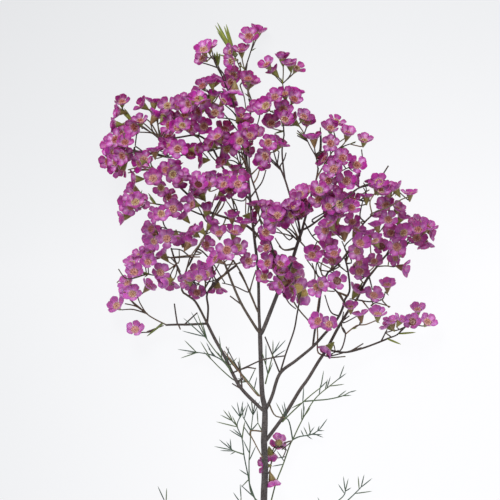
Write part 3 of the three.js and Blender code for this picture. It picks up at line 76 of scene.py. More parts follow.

# %% [markdown]
# ## The plan of the branch
#
# The real branch grew without a rule, so its woody limbs, twigs, flowers and leaves are a plan
# drawn one by one, the same as the solids follow. It is drawn as seen from straight above on a
# sheet ruled in small squares: x counts squares to the right and y counts squares towards the
# cut end. A third number is the height above the table in millimetres.

# %% The woody limbs: radius at the root, radius at the end, and the run
LIMBS = [
  [CUT_RADIUS, 2.6, [[262, 652, 3.16], [263, 600, 9], [264, 550, 14], [264, 500, 18],
    [265, 472, 20.5], [264, 442, 23]]],
  [2.6, 1.7, [[264, 442, 23], [265, 411, 26], [262, 391, 28], [260, 333, 34]]],
  [1.2, 0.7, [[260, 340, 33.2], [260, 333, 34], [259, 312, 36], [258, 271, 40], [254, 235, 42],
    [250, 198, 42], [247, 165, 39], [246, 150, 37], [247, 130, 32], [251, 108, 26],
    [249, 98, 23]]],
  # low limb on the left and its three forks
  [1.35, 1.1, [[263, 411, 26], [242, 390, 24], [232, 373, 22], [225, 358, 21], [215, 340, 20],
    [207, 324, 19]]],
  [0.85, 0.6, [[207, 324, 19], [187, 325, 16], [177, 325, 14.5], [165, 325.5, 13]]],
  [0.8, 0.5, [[207, 324, 19], [196, 303, 24], [188, 296, 27], [182, 291, 29], [181, 277, 32],
    [178, 270, 33], [174, 258, 35], [171, 248, 36]]],
  [0.7, 0.5, [[207, 324, 19], [208, 308, 23], [207, 294, 27], [216, 281, 30], [225, 274, 32],
    [236, 266, 34]]],
  [0.45, 0.3, [[177, 325, 14.5], [175, 312, 17], [174, 304, 19]]],
  [0.4, 0.3, [[184, 325, 15.5], [197, 313, 20]]],
  [0.5, 0.4, [[190, 298, 26.5], [186, 272, 27], [190, 263, 28], [198, 247, 30], [207, 231, 32],
    [214, 215, 34]]],
  [0.45, 0.4, [[207, 231, 32], [187, 233, 30], [179, 232, 29]]],
  # middle limb on the left and the thin one beside the main stem
  [1.1, 0.7, [[260, 333, 34], [256, 328, 36], [242, 305, 42], [233, 285, 47], [225, 264, 51]]],
  [0.65, 0.45, [[258, 312, 36], [249, 291, 40], [241, 273, 44], [233, 260, 47]]],
  [0.4, 0.3, [[242, 305, 42], [230, 296, 43]]],
  # middle limb on the right and its forks
  [1.65, 1.1, [[260, 335, 33.5], [264, 328, 35], [281, 285, 44], [291, 263, 48], [297, 245, 51],
    [302, 230, 54]]],
  [0.85, 0.5, [[302, 230, 54], [306, 215, 56], [310, 203, 58], [312, 190, 60], [316, 180, 61],
    [318, 168, 62]]],
  [0.75, 0.5, [[300, 236, 53], [298, 220, 53], [290, 196, 54], [285, 180, 55], [280, 168, 56]]],
  [0.5, 0.4, [[285, 180, 55], [283, 165, 57], [282, 150, 59], [284, 135, 60]]],
  [0.7, 0.35, [[302, 230, 54], [310, 226, 55], [330, 211, 57], [340, 203, 58], [357, 189, 59],
    [370, 185, 59], [379, 179, 60], [388, 166, 61]]],
  [0.4, 0.35, [[297, 247, 50.5], [285, 250, 50], [279, 246, 50]]],
  [0.5, 0.4, [[298, 241, 51.5], [293, 236, 54], [288, 231, 56]]],
  # long limb that crosses over the main stem to the upper left
  [1.0, 0.6, [[283, 281, 45], [275, 256, 48], [262, 240, 50], [247, 226, 51], [230, 219, 51],
    [212, 213, 49], [198, 204, 48], [183, 190, 47], [170, 178, 46], [164, 174, 45]]],
  [0.5, 0.4, [[212, 213, 49], [203, 215, 47], [190, 210, 44], [180, 207, 42], [169, 206, 40],
    [156, 204, 38]]],
  # upper left limb and its fork
  [0.75, 0.5, [[250, 200, 42], [236, 184, 41], [223, 168, 40], [213, 149, 39], [206, 140, 39],
    [196, 135, 38], [180, 137, 37], [169, 139, 36]]],
  [0.5, 0.4, [[213, 149, 39], [190, 153, 35], [169, 157, 32], [150, 153, 29], [141, 151, 28]]],
  [0.6, 0.45, [[246, 150, 37], [243, 140, 41], [240, 128, 44], [234, 105, 49], [231, 96, 51]]],
  # first low limb on the right and its forks
  [1.35, 0.5, [[265, 412, 26], [272, 397, 26], [280, 374, 27], [296, 361, 28], [313, 347, 28],
    [325, 334, 28], [337, 320, 28], [343, 308, 29], [345, 300, 30], [350, 290, 31],
    [348, 270, 33], [345, 258, 34]]],
  [0.45, 0.3, [[280, 374, 27], [272, 354, 27], [265, 337, 26]]],
  [0.5, 0.4, [[280, 374, 27], [286, 354, 30], [294, 331, 33], [297, 315, 35], [299, 304, 36]]],
  [0.4, 0.35, [[283, 283, 44], [297, 307, 39], [308, 320, 37]]],
  [0.7, 0.45, [[313, 347, 28], [315, 331, 31], [319, 308, 35], [321, 293, 38], [327, 274, 42],
    [335, 267, 43], [346, 255, 44], [353, 245, 45], [358, 232, 46], [364, 223, 47],
    [371, 216, 48]]],
  # second low limb on the right and its forks
  [1.5, 0.55, [[264, 444, 23], [273, 432, 22], [286, 414, 20], [300, 391, 18], [308, 380, 18],
    [319, 362, 17], [327, 350, 17], [337, 331, 18], [344, 319, 19], [349, 311, 20],
    [357, 300, 21], [366, 282, 23], [378, 266, 25], [388, 254, 27], [398, 248, 28]]],
  [0.65, 0.5, [[327, 350, 17], [345, 353, 14], [363, 349, 12], [382, 342, 10], [389, 339, 9.5]]],
  [0.4, 0.35, [[331, 351, 16.2], [341, 351, 18], [346, 335, 21], [343, 328, 22]]],
  [0.4, 0.3, [[357, 300, 21], [370, 302, 18], [380, 301, 17]]],
  # thin reddish twig over the main stem
  [0.4, 0.3, [[231, 374, 22.2], [247, 367, 30], [260, 361, 34.5], [272, 358, 35.5],
    [285, 356, 36]]],
  # slender tan twigs among the middle sprays
  [0.5, 0.4, [[274, 254, 48.3], [270, 240, 53], [264, 218, 56], [257, 195, 57], [252, 180, 56],
    [247, 165, 54], [243, 152, 52]]],
  [0.5, 0.4, [[222, 197, 50], [213, 213.5, 49], [207, 232, 42], [200, 245, 38], [192, 258, 34],
    [189, 265, 32]]],
]
print("limbs:", len(LIMBS))

# %% The flower sprays: name, twigs, and flowers [x, y, way, lean]
# Lean is the angle between a flower's axis and straight up, and way is the direction that it
# leans to, in degrees anticlockwise from the right. A flower that rests has its petals on the
# table.
SPRAYS = [
  ["spray_beside_stem", [[[264, 480, 17], [270, 472, 11], [272, 458, 10], [274, 449, 10]]],
    [[260, 467, 180, 75], [273.5, 486, 285, 95], [271, 459, 280, 120], [279, 443, 90, 165]]],
  ["spray_right_foot", [[[388, 339.3, 9.6], [398, 335.5, 9], [403, 330, 9], [408, 326, 9]],
    [[398, 335.5, 9], [404, 330, 12], [412, 322, 14]], [[383, 341.5, 10], [386, 333, 10]]],
    [[386, 323, 138, 85], [392, 319, 100, 70], [403, 317, 60, 75], [413, 321, 90, 15],
      [419, 307, 90, 55, "rests"], [430, 320, 60, 40]]],
  ["spray_left_foot", [[[166, 325.4, 13], [155, 320, 11], [146, 314, 10], [139, 303, 10],
    [137, 297, 11]], [[146, 314, 10], [135, 306, 9], [130, 301, 9]], [[161, 324, 12],
    [151, 332, 10], [142, 333, 9]], [[146, 314, 10], [133, 310, 8], [124, 310, 7]]],
    [[114, 304, 130, 40], [134, 328, 100, 30], [150, 284, 50, 70, "rests"], [123, 291, 170, 45],
      [125, 281, 130, 50], [132, 292, 90, 30]]],
  ["spray_right_hanging", [[[379, 301, 17], [384, 299, 16], [386, 292, 15]], [[379, 301, 17],
    [374, 304, 17]]],
    [[375, 293, 70, 40], [388, 282, 90, 60]]],
  ["spray_curved_twig", [[[346, 334.5, 21], [357, 326, 22], [366, 325, 22], [376, 321, 22]],
    [[360, 326, 22], [361, 320, 22]]],
    [[360, 311, 100, 80], [378, 311, 90, 60]]],
  ["spray_low_single", [[[339, 351, 18], [333, 354, 17]]],
    [[325, 352, 225, 80]]],
  ["spray_tip", [[[249, 97, 22.7], [248, 90, 21], [243, 80, 19], [240, 67, 17], [235, 56, 16]],
    [[242, 76, 18.5], [247, 62, 16], [252, 46, 13], [254, 38, 12]],
    [[248, 90, 21], [251, 84, 21]]],
    [[259, 26, 75, 80, "rests"], [249, 33, 90, 35], [241, 46, 95, 65], [227, 51, 165, 60],
      [228, 62, 200, 50], [247, 82, 100, 40, "bud"], [233, 74, 100, 15], [229, 83, 210, 35],
      [254, 79, 60, 65]]],
  ["spray_right_x5", [[[378, 266.6, 25], [387, 266, 22], [394, 267, 21]]],
    [[408, 269, 345, 75], [393, 259, 200, 50], [401, 256, 330, 60]]],
  ["spray_right_x4", [[[365, 284, 22.5], [361, 280, 23], [359, 277, 23]], [[361, 280, 23],
    [366, 276, 27], [370, 271, 29]]],
    [[359, 288, 60, 75], [351, 304, 90, 60], [374, 259, 100, 35], [360, 270, 90, 25],
      [362, 261, 30, 45]]],
  ["spray_right_tip", [[[399, 247.5, 28], [413, 240, 27], [421, 236, 26]], [[407, 243, 27.5],
    [409, 236, 28]]],
    [[426, 247, 280, 80], [435, 233, 340, 75], [429, 224, 60, 60], [422, 219, 70, 70],
      [415, 221, 120, 50], [417, 236, 90, 30]]],
  ["spray_left_m", [[[142, 151.2, 28], [134, 150, 27], [122, 147, 26], [115, 145, 25]],
    [[134, 150, 27], [122, 156, 24], [113, 159, 22]]],
    [[116, 150, 150, 120], [119, 171, 230, 115], [125, 128, 60, 90], [106, 145, 171, 45],
      [104, 161, 175, 50], [113, 170, 210, 50], [109, 153, 190, 60], [112, 163, 190, 50],
      [113, 138, 150, 45], [119, 130, 120, 60], [125, 140, 95, 35], [124, 155, 100, 30]]],
  ["spray_left_p", [[[180, 232.1, 29], [172, 231, 28], [164, 233, 27], [158, 236, 26]],
    [[174, 231.5, 28.2], [178, 236, 33], [184, 236, 34]]],
    [[155, 242, 336, 75], [184, 238, 80, 130], [190, 241, 60, 120], [148, 228, 160, 45],
      [147, 240, 190, 60], [191, 230, 140, 70], [155, 232, 60, 30], [176, 241, 270, 60],
      [167, 238, 90, 10]]],
  ["spray_left_q", [[[180, 272, 32.6], [176, 264, 32], [169, 257, 31], [160, 258, 29]],
    [[176, 264, 32], [168, 270, 28], [155, 275, 26], [146, 274, 25]]],
    [[170, 287, 270, 65], [160, 252, 130, 100], [138, 251, 120, 60], [131, 260, 100, 55],
      [161, 271, 60, 25], [134, 270, 90, 30], [148, 250, 120, 60], [148, 260, 90, 30],
      [163, 283, 200, 60, "bud"]]],
  ["spray_left_u", [[[207, 296, 26.4], [205, 290, 27], [198, 284, 28], [192, 282, 29]],
    [[205, 290, 27], [205, 282, 29]]],
    [[217, 292, 270, 105], [184, 282, 200, 50], [190, 276, 90, 60], [193, 271, 150, 60],
      [204, 266, 60, 70], [197, 291, 90, 25], [206, 272, 90, 35]]],
  ["spray_left_o", [[[158, 204.4, 38.3], [150, 203, 36], [140, 204, 34], [133, 206, 33]],
    [[150, 203, 36], [140, 196, 35]]],
    [[119, 218, 190, 85], [123, 204, 190, 60], [129, 186, 150, 80], [130, 209, 250, 35],
      [129, 196, 170, 50], [139, 201, 80, 20]]],
  ["spray_left_o2", [[[181, 207.3, 42.2], [176, 211, 43], [169, 213, 43]]],
    [[182, 214, 130, 85], [171, 197, 0, 35], [153, 215, 190, 45], [173, 208, 90, 15],
      [162, 213, 60, 15]]],
  ["spray_upper_left", [[[171, 138.7, 36], [162, 140, 36], [152, 133, 35], [140, 126, 34],
    [128, 119, 33]], [[162, 140, 36], [158, 126, 38], [158, 116, 39]], [[162, 140, 36],
    [168, 128, 40], [173, 121, 41]]],
    [[157, 113, 60, 100], [166, 113, 60, 120], [173, 116, 60, 120], [154, 98, 88, 88],
      [115, 111, 175, 80], [111, 124, 178, 85], [139, 103, 145, 70], [122, 99, 90, 45],
      [132, 128, 200, 40], [140, 118, 100, 50], [166, 104, 130, 35], [178, 103, 90, 35],
      [184, 113, 100, 40], [166, 124, 160, 50], [177, 126, 110, 30]]],
  ["spray_left_l", [[[169, 157, 32.5], [163, 152, 34], [158, 150, 35]]],
    [[154, 147, 95, 85], [163, 146, 200, 60], [143, 158, 110, 25], [166, 135, 120, 40],
      [170, 143, 100, 45]]],
  ["spray_left_n", [[[165, 174.4, 45], [154, 170, 43], [143, 169, 42], [137, 171, 41]]],
    [[131, 179, 180, 85], [136, 165, 200, 60], [160, 189, 230, 25], [166, 168, 100, 35],
      [153, 177, 100, 25]]],
  ["spray_left_n2", [[[172, 179.8, 46], [174, 172, 48], [178, 166, 49]]],
    [[175, 162, 80, 100], [182, 170, 70, 60], [180, 179, 60, 20], [178, 149, 90, 5]]],
  ["spray_upper_r1", [[[205, 139.5, 39], [202, 145, 42], [199, 150, 43]], [[202, 145, 42],
    [198, 136, 44]]],
    [[198, 161, 185, 85], [206, 144, 160, 100], [191, 151, 90, 30], [200, 150, 0, 60],
      [192, 127, 20, 40], [204, 126, 90, 10], [208, 143, 150, 60]]],
  ["spray_upper_r2", [[[219, 160.5, 39.5], [221, 151, 42], [221, 144, 43]]],
    [[214, 141, 60, 95], [221, 160, 150, 60], [223, 139, 350, 40], [225, 126, 80, 50],
      [229, 150, 340, 35], [216, 135, 120, 50]]],
  ["spray_right_x2", [[[386, 256.2, 26.6], [391, 247, 31], [395, 241, 33]], [[391, 247, 31],
    [385, 247, 33]]],
    [[404, 230, 80, 45], [391, 231, 90, 30], [381, 245, 100, 20], [397, 246, 90, 10]]],
  ["spray_right_z1", [[[320, 300, 36.6], [317, 292, 39], [314, 287, 41]], [[317, 292, 39],
    [322, 288, 43], [328, 283, 44]]],
    [[314, 288, 200, 40], [323, 283, 20, 40], [337, 280, 90, 10]]],
  ["spray_right_z3", [[[307, 319, 37.1], [312, 325, 37], [318, 328, 37]]],
    [[316, 320, 150, 35], [329, 323, 90, 15]]],
  ["spray_middle_v2", [[[299, 305, 36], [299, 297, 38], [297, 290, 39]]],
    [[303, 298, 270, 120, "bud"], [290, 291, 200, 60], [297, 264, 60, 80],
      [300, 285, 60, 140, "bud"], [295, 279, 150, 140, "bud"], [286, 280, 130, 50],
      [296, 277, 100, 140]]],
  ["spray_middle_t5", [[[267, 246.2, 49.2], [266, 252, 52], [264, 258, 53]]],
    [[265, 262, 160, 40], [264, 247, 160, 40]]],
  ["spray_middle_t1", [[[253, 228, 42], [259, 220, 44], [262, 212, 45]], [[259, 220, 44],
    [265, 226, 45]]],
    [[256, 201, 100, 90], [264, 203, 90, 65], [255, 216, 0, 80], [267, 232, 20, 20]]],
  ["spray_right_x3", [[[357, 234, 46], [362, 240, 47], [364, 246, 47]], [[362, 240, 47],
    [369, 243, 47]]],
    [[355, 252, 200, 30], [361, 241, 60, 35], [373, 238, 120, 60], [368, 231, 100, 90],
      [358, 227, 60, 60]]],
  ["spray_right_h3", [[[371, 216.3, 48], [377, 213, 48], [385, 209, 49], [393, 205, 49],
    [400, 200, 50]], [[377, 213, 48], [383, 219, 49], [388, 222, 50]]],
    [[383, 202, 100, 95], [376, 222, 100, 90], [379, 212, 120, 70], [399, 206, 60, 60],
      [403, 214, 60, 75], [388, 218, 80, 25]]],
  ["spray_left_s1", [[[190, 196.5, 47.5], [189, 191, 50], [191, 186, 52]]],
    [[186, 196, 130, 95], [200, 192, 120, 120], [189, 204, 170, 60], [193, 185, 180, 60],
      [197, 177, 100, 60]]],
  ["spray_middle_v1", [[[279, 268.5, 46.5], [279, 277, 48], [278, 283, 48]], [[279, 277, 48],
    [274, 272, 50]], [[279, 277, 48], [282, 270, 50], [284, 265, 51]]],
    [[264, 275, 90, 30], [288, 257, 80, 80], [277, 286, 200, 60], [281, 270, 90, 60],
      [275, 264, 100, 60], [282, 261, 60, 50], [272, 257, 160, 60], [275, 287, 254, 60]]],
  ["spray_middle_t3", [[[234, 262, 47], [228, 257, 50], [222, 256, 52]], [[228, 257, 50],
    [240, 253, 52]]],
    [[213, 257, 150, 60], [209, 244, 20, 40], [239, 246, 60, 20], [249, 260, 90, 15],
      [227, 250, 90, 0]]],
  ["spray_middle_t2", [[[226, 217.6, 50.8], [223, 225, 53], [218, 227, 54]], [[223, 225, 53],
    [232, 224, 55]]],
    [[207, 206, 90, 80, "bud"], [213, 220, 60, 80], [198, 226, 130, 75], [219, 230, 95, 50],
      [235, 229, 76, 60], [232, 213, 90, 70], [244, 219, 85, 75]]],
  ["spray_middle_s2", [[[240, 223, 51], [236, 206, 54], [228, 194, 56], [219, 186, 57]],
    [[228, 194, 56], [236, 186, 57], [240, 183, 58]]],
    [[211, 173, 100, 100], [219, 175, 80, 100], [221, 200, 270, 100], [208, 182, 100, 50],
      [230, 175, 60, 60], [222, 183, 130, 40], [242, 190, 300, 35], [229, 188, 100, 25],
      [241, 177, 60, 30]]],
  ["spray_axis_r3", [[[247, 160, 38.2], [244, 152, 46], [243, 147, 48]], [[244, 152, 46],
    [252, 144, 48], [253, 136, 49]]],
    [[235, 165, 90, 90], [250, 149, 0, 50], [246, 120, 60, 40], [256, 131, 80, 40],
      [240, 141, 90, 5], [254, 106, 130, 50], [242, 113, 60, 60], [246, 129, 90, 40],
      [232, 139, 90, 40]]],
  ["spray_upper_k", [[[231, 97, 50.6], [226, 93, 53], [219, 92, 54], [211, 95, 55],
    [202, 102, 55]]],
    [[225, 97, 200, 90], [214, 92, 75, 90], [235, 95, 270, 90], [219, 78, 60, 80],
      [201, 84, 120, 45], [211, 79, 100, 75], [190, 103, 200, 45], [198, 97, 100, 40],
      [183, 98, 110, 45], [215, 111, 90, 30], [226, 99, 50, 60], [194, 94, 150, 60],
      [205, 106, 300, 60], [196, 113, 200, 50], [186, 106, 200, 50], [204, 98, 150, 110, "bud"],
      [233, 104, 270, 110, "bud"]]],
  ["spray_tip_left", [[[232, 99, 50.5], [225, 84, 56], [219, 68, 60], [213, 56, 62]]],
    [[200, 58, 150, 45], [209, 44, 95, 60]]],
  ["spray_right_w1", [[[289, 232, 55.6], [282, 227, 57], [276, 223, 58]], [[282, 227, 57],
    [281, 217, 59]]],
    [[277, 205, 100, 70], [264, 212, 180, 70], [285, 208, 150, 50], [282, 220, 260, 30],
      [271, 217, 300, 40], [270, 222, 200, 50], [286, 214, 90, 50], [270, 208, 160, 60],
      [294, 214, 60, 40]]],
  ["spray_right_w4", [[[304, 222, 55], [312, 236, 58], [318, 242, 59]], [[312, 236, 58],
    [325, 229, 59], [333, 229, 59]]],
    [[344, 230, 90, 120], [313, 253, 60, 35], [329, 244, 90, 50], [323, 231, 200, 30],
      [328, 221, 120, 60], [337, 229, 40, 60]]],
  ["spray_right_z2", [[[336, 266, 43.1], [333, 268, 45], [331, 269, 46]]],
    [[332, 258, 90, 40], [317, 250, 60, 50]]],
  ["spray_right_w2", [[[297, 215, 53.2], [298, 210, 56], [298, 205, 57]]],
    [[293, 200, 130, 50], [307, 188, 80, 60], [299, 192, 110, 40], [300, 211, 100, 40],
      [302, 203, 60, 40], [291, 204, 90, 50], [308, 206, 24, 65]]],
  ["spray_right_w3", [[[328, 212.2, 57], [326, 206, 60], [328, 202, 61]], [[326, 206, 60],
    [334, 207, 61]], [[326, 206, 60], [330, 213, 62], [335, 219, 62]]],
    [[328, 195, 90, 70], [337, 213, 90, 70], [340, 194, 60, 60], [318, 198, 100, 30],
      [329, 205, 60, 30], [335, 190, 80, 50], [331, 213, 94, 40]]],
  ["spray_right_h1", [[[353, 192.4, 58.6], [352, 200, 61], [353, 207, 61]], [[352, 200, 61],
    [358, 200, 61]]],
    [[366, 193, 90, 90], [352, 220, 90, 30], [352, 196, 90, 60], [352, 206, 60, 30]]],
  ["spray_right_h2", [[[379, 179.3, 60], [386, 182, 61], [392, 188, 61], [399, 192, 61]]],
    [[371, 178, 120, 90], [377, 184, 80, 60], [393, 186, 120, 80], [409, 190, 90, 75],
      [384, 190, 120, 50], [378, 180, 90, 40], [388, 186, 100, 60]]],
  ["spray_upper_r4", [[[281, 170.5, 55.7], [270, 160, 58], [266, 153, 59]], [[277, 166, 56.6],
    [279, 152, 59]]],
    [[263, 162, 60, 30], [281, 141, 60, 75], [268, 143, 90, 0]]],
  ["spray_tip_right", [[[284, 136, 60], [283, 118, 62], [284, 104, 63], [284, 94, 64],
    [282, 82, 65]], [[283, 118, 62], [275, 114, 63], [269, 111, 64]]],
    [[271, 69, 130, 95], [297, 90, 70, 90], [282, 55, 95, 80], [265, 63, 125, 55],
      [298, 66, 60, 50], [284, 92, 100, 50], [295, 98, 60, 40], [261, 107, 90, 25],
      [271, 122, 90, 30], [274, 96, 110, 30], [283, 109, 90, 20], [289, 62, 100, 70],
      [276, 106, 200, 80]]],
  ["spray_right_f", [[[317.7, 169, 62], [316, 158, 63], [310, 147, 64], [304, 134, 65]]],
    [[290, 119, 140, 70], [307, 120, 85, 40], [313, 135, 95, 80]]],
  ["spray_right_g1", [[[316.5, 178, 61.2], [324, 165, 64], [332, 152, 66], [337, 139, 67]],
    [[332, 152, 66], [345, 146, 68], [355, 143, 69]]],
    [[338, 119, 60, 60], [348, 131, 75, 60], [364, 138, 80, 55], [330, 126, 90, 45],
      [330, 143, 90, 15]]],
  ["spray_right_g2", [[[313, 188, 60.4], [325, 182, 63], [338, 173, 66], [348, 168, 68]],
    [[331.5, 177.5, 64.5], [340, 184, 66], [348, 184, 67]]],
    [[358, 180, 0, 95], [321, 158, 150, 70], [334, 163, 200, 30], [342, 157, 90, 25],
      [328, 180, 90, 15], [346, 180, 90, 20], [357, 164, 60, 25]]],
]
print("sprays:", len(SPRAYS), "flowers on them:", sum(len(drawn) for _, _, drawn in SPRAYS))

# %% Needle leaves on the sprays, and the leafy shoots
# A needle leaf is drawn as a line from its foot to its tip. A shoot is its name, its twigs and
# its needles.
SPRAY_NEEDLES = {
  "spray_right_foot": [[400, 335, 417, 333], [386, 341, 402, 345]],
  "spray_left_foot": [[162, 325, 146, 337]],
  "spray_tip": [[236, 58, 217, 53], [236, 56, 226, 37], [235, 56, 217, 30], [235, 56, 229, 34]],
  "spray_right_f": [[305, 141, 296, 133]],
  "spray_tip_right": [[283, 131, 274, 134]],
  "spray_upper_left": [[137, 116, 118, 108]],
  "spray_left_o": [[156, 203, 148, 193], [155, 203, 149, 197]],
  "spray_left_p": [[164, 233, 146, 250]],
  "spray_left_q": [[150, 274, 126, 268]],
}
SHOOTS = [
  ["shoot_left_a", [[[264, 520, 16.5], [256, 503, 12], [250, 487, 9], [248, 477, 8],
    [244, 457, 8], [242, 440, 9], [237, 427, 11], [240, 418, 13]],
    [[244, 456, 8], [235, 453, 6], [231, 451, 6]], [[242, 440, 9], [244, 426, 7]],
    [[237, 427, 11], [231, 421, 9]]],
    [[238, 428, 216, 423], [232, 422, 220, 416], [231, 421, 223, 411], [232, 423, 228, 412],
      [240, 418, 231, 406], [240, 418, 237, 403], [240, 418, 243, 402], [240, 420, 246, 407],
      [242, 439, 229, 431], [241, 437, 233, 430], [243, 436, 245, 422], [232, 452, 214, 448],
      [231, 451, 219, 441], [232, 452, 226, 443], [231, 451, 230, 440], [234, 453, 220, 452],
      [235, 454, 230, 456], [248, 477, 239, 471], [244, 428, 252, 440], [238, 429, 232, 417]]],
  ["shoot_left_b", [[[264, 508, 17.3], [255, 500, 13], [250, 490, 11], [249, 466, 13],
    [250, 448, 14], [251, 432, 14], [253, 415, 12]], [[251, 432, 14], [243, 418, 15]],
    [[251, 432, 14], [258, 424, 13]]],
    [[253, 415, 251, 398], [253, 415, 256, 400], [254, 417, 260, 402], [243, 418, 242, 404],
      [244, 420, 248, 405], [251, 462, 256, 447], [250, 455, 243, 441], [258, 424, 257, 410],
      [258, 424, 264, 436], [253, 416, 247, 403], [250, 480, 241, 489], [255, 499, 240, 486]]],
  ["shoot_left_far", [[[231, 371, 21.5], [222, 361, 15], [212, 356, 11], [203, 354, 9],
    [196, 353, 8]]],
    [[196, 353, 184, 341], [197, 353, 177, 350], [197, 353, 180, 359], [199, 353, 186, 354],
      [213, 356, 206, 343], [216, 358, 208, 349]]],
  ["shoot_left_limb", [[[234, 377, 22.4], [226, 364, 27], [215, 351, 30], [205, 337, 32]]],
    [[205, 337, 191, 312], [206, 338, 197, 313], [204, 336, 182, 331], [206, 338, 183, 318],
      [207, 340, 202, 322], [226, 364, 229, 347], [229, 367, 237, 358], [222, 359, 219, 336],
      [227, 365, 217, 352]]],
  ["shoot_left_inner", [[[261, 398, 27.5], [256, 392, 24], [248, 382, 18], [241, 374, 15],
    [232, 365, 14]], [[248, 382, 18], [236, 382, 15], [222, 371, 12], [211, 360, 10]]],
    [[211, 360, 200, 342], [214, 363, 203, 352], [232, 365, 221, 350], [241, 374, 239, 358],
      [240, 373, 229, 357], [248, 382, 237, 379], [249, 383, 256, 368], [254, 390, 257, 377],
      [236, 382, 230, 372]]],
  ["shoot_stem_right", [[[265, 386, 28], [268, 374, 32], [271, 362, 34], [273, 354, 34]],
    [[268, 374, 32], [266, 366, 33]]],
    [[273, 354, 286, 340], [273, 355, 280, 341], [273, 354, 273, 340], [272, 359, 286, 350],
      [266, 366, 266, 344], [267, 376, 273, 363], [266, 366, 262, 352]]],
  ["shoot_right_a", [[[264, 530, 16], [270, 508, 12], [276, 485, 10], [283, 467, 9],
    [290, 447, 9], [293, 441, 9.5], [301, 424, 11], [311, 406, 13], [319, 396, 14],
    [330, 387, 14], [340, 379, 13]], [[293, 441, 9.5], [300, 438, 7], [312, 436, 5],
    [320, 431, 4.5]], [[293, 441, 9.5], [289, 422, 8], [283, 419, 7]]],
    [[340, 379, 345, 366], [337, 381, 347, 374], [330, 387, 345, 385], [328, 390, 331, 377],
      [326, 391, 328, 380], [320, 396, 321, 385], [303, 420, 305, 407], [305, 417, 311, 408],
      [302, 422, 302, 409], [320, 431, 328, 420], [318, 432, 325, 432], [314, 435, 324, 439],
      [312, 436, 323, 436], [311, 436, 309, 423], [308, 437, 304, 428], [304, 437, 301, 431],
      [309, 437, 315, 428], [318, 432, 320, 427], [307, 437, 313, 441], [285, 463, 277, 452],
      [286, 458, 276, 460], [288, 452, 281, 449], [284, 466, 272, 468]]],
  ["shoot_right_b", [[[278, 427.5, 21], [285, 420, 23], [294, 411, 25], [304, 402, 26],
    [312, 395, 27], [321, 388, 27]], [[304, 402, 26], [316, 401, 24], [328, 400, 22],
    [342, 397, 20], [350, 393, 19]]],
    [[321, 388, 324, 371], [321, 388, 328, 381], [303, 403, 304, 387], [303, 403, 291, 409],
      [350, 393, 357, 391], [343, 397, 352, 396], [338, 398, 347, 391], [285, 420, 276, 403],
      [287, 418, 284, 402], [286, 419, 282, 405], [304, 403, 304, 416]]],
  ["shoot_below", [[[263, 588, 10.5], [250, 562, 9], [238, 540, 8], [240, 515, 7], [241, 500, 7]],
    [[250, 562, 9], [256, 560, 6], [268, 558, 5], [285, 545, 6], [300, 530, 8], [325, 513, 8],
      [343, 499, 8], [346, 493, 9]], [[325, 513, 8], [342, 507, 6], [352, 499, 6], [362, 489, 6]],
    [[250, 562, 9], [215, 545, 8], [185, 525, 7], [164, 503, 7]]],
    [[346, 493, 344, 478], [345, 495, 339, 486], [346, 493, 352, 489], [347, 494, 349, 480],
      [362, 489, 373, 480], [362, 489, 365, 476], [360, 491, 359, 478], [356, 496, 373, 493],
      [325, 513, 318, 499], [310, 524, 322, 518], [300, 530, 297, 514], [241, 500, 240, 486],
      [240, 505, 233, 494], [240, 515, 250, 503], [238, 538, 227, 528], [164, 503, 157, 488],
      [166, 504, 166, 490], [185, 525, 176, 514], [200, 536, 188, 538], [190, 529, 196, 516],
      [280, 554, 292, 549], [246, 554, 252, 540]]],
]
print("needles on sprays:", sum(map(len, SPRAY_NEEDLES.values())), "shoots:", len(SHOOTS))

# %% [markdown]
# ## Rules that lay out the plan
#
# The plan says where a flower is and which way it leans, and a few rules say the rest: how
# high it stands, where its stalk leaves the twig, and how it turns. The same rules with the
# same dice laid out the solids, so each fine flower lands on its own solid.

# %% Points of the sheet, dice, and the nearest point of a twig
DICE_MULTIPLIER = 16807
DICE_MODULUS = 2 ** 31 - 1


def place(point):
    """A point of the plan in millimetres."""
    x, y, z = point
    return np.array([(x - SHEET_X) * SQUARE, (SHEET_Y - y) * SQUARE, z], float)


def length_of(vector):
    return math.sqrt(vector[0] * vector[0] + vector[1] * vector[1] + vector[2] * vector[2])


def dice(seed):
    """Numbers between 0 and 1 that come out the same on every run."""
    state = seed
    while True:
        state = (state * DICE_MULTIPLIER) % DICE_MODULUS
        yield state / DICE_MODULUS


def foot_on(runs, x, y):
    """The square of the distance in plan to the nearest point of the runs, and that point."""
    best = None
    for run in runs:
        for start, end in zip(run, run[1:]):
            a, b = place(start), place(end)
            ex, ey = b[0] - a[0], b[1] - a[1]
            t = min(1, max(0, ((x - a[0]) * ex + (y - a[1]) * ey) / (ex * ex + ey * ey)))
            dx, dy = x - (a[0] + ex * t), y - (a[1] + ey * t)
            far = dx * dx + dy * dy
            if best is None or far < best[0]:
                best = (far, np.array([a[0] + ex * t, a[1] + ey * t, a[2] + (b[2] - a[2]) * t]))
    return best


print("cut end at", place(LIMBS[0][2][0]).round(1), "mm")

# %% Which way a flower faces
# Lean is the angle in degrees between a flower's axis and straight up, and way is the
# direction that it leans to, anticlockwise from the right.
STEEP = 0.9  # an axis that points up or down more than this is steep


def across(along, hint):
    """The direction across `along` that is nearest to `hint`."""
    flat = hint - along * float(np.dot(hint, along))
    return flat / length_of(flat)


def any_across(along):
    hint = [0.0, -1, 0] if abs(along[2]) > STEEP else [0.0, 0, 1]
    return across(along, np.array(hint))


def turned(vector, axis, degrees):
    angle = math.radians(degrees)
    return (vector * math.cos(angle) + np.cross(axis, vector) * math.sin(angle)
            + axis * float(np.dot(axis, vector)) * (1 - math.cos(angle)))


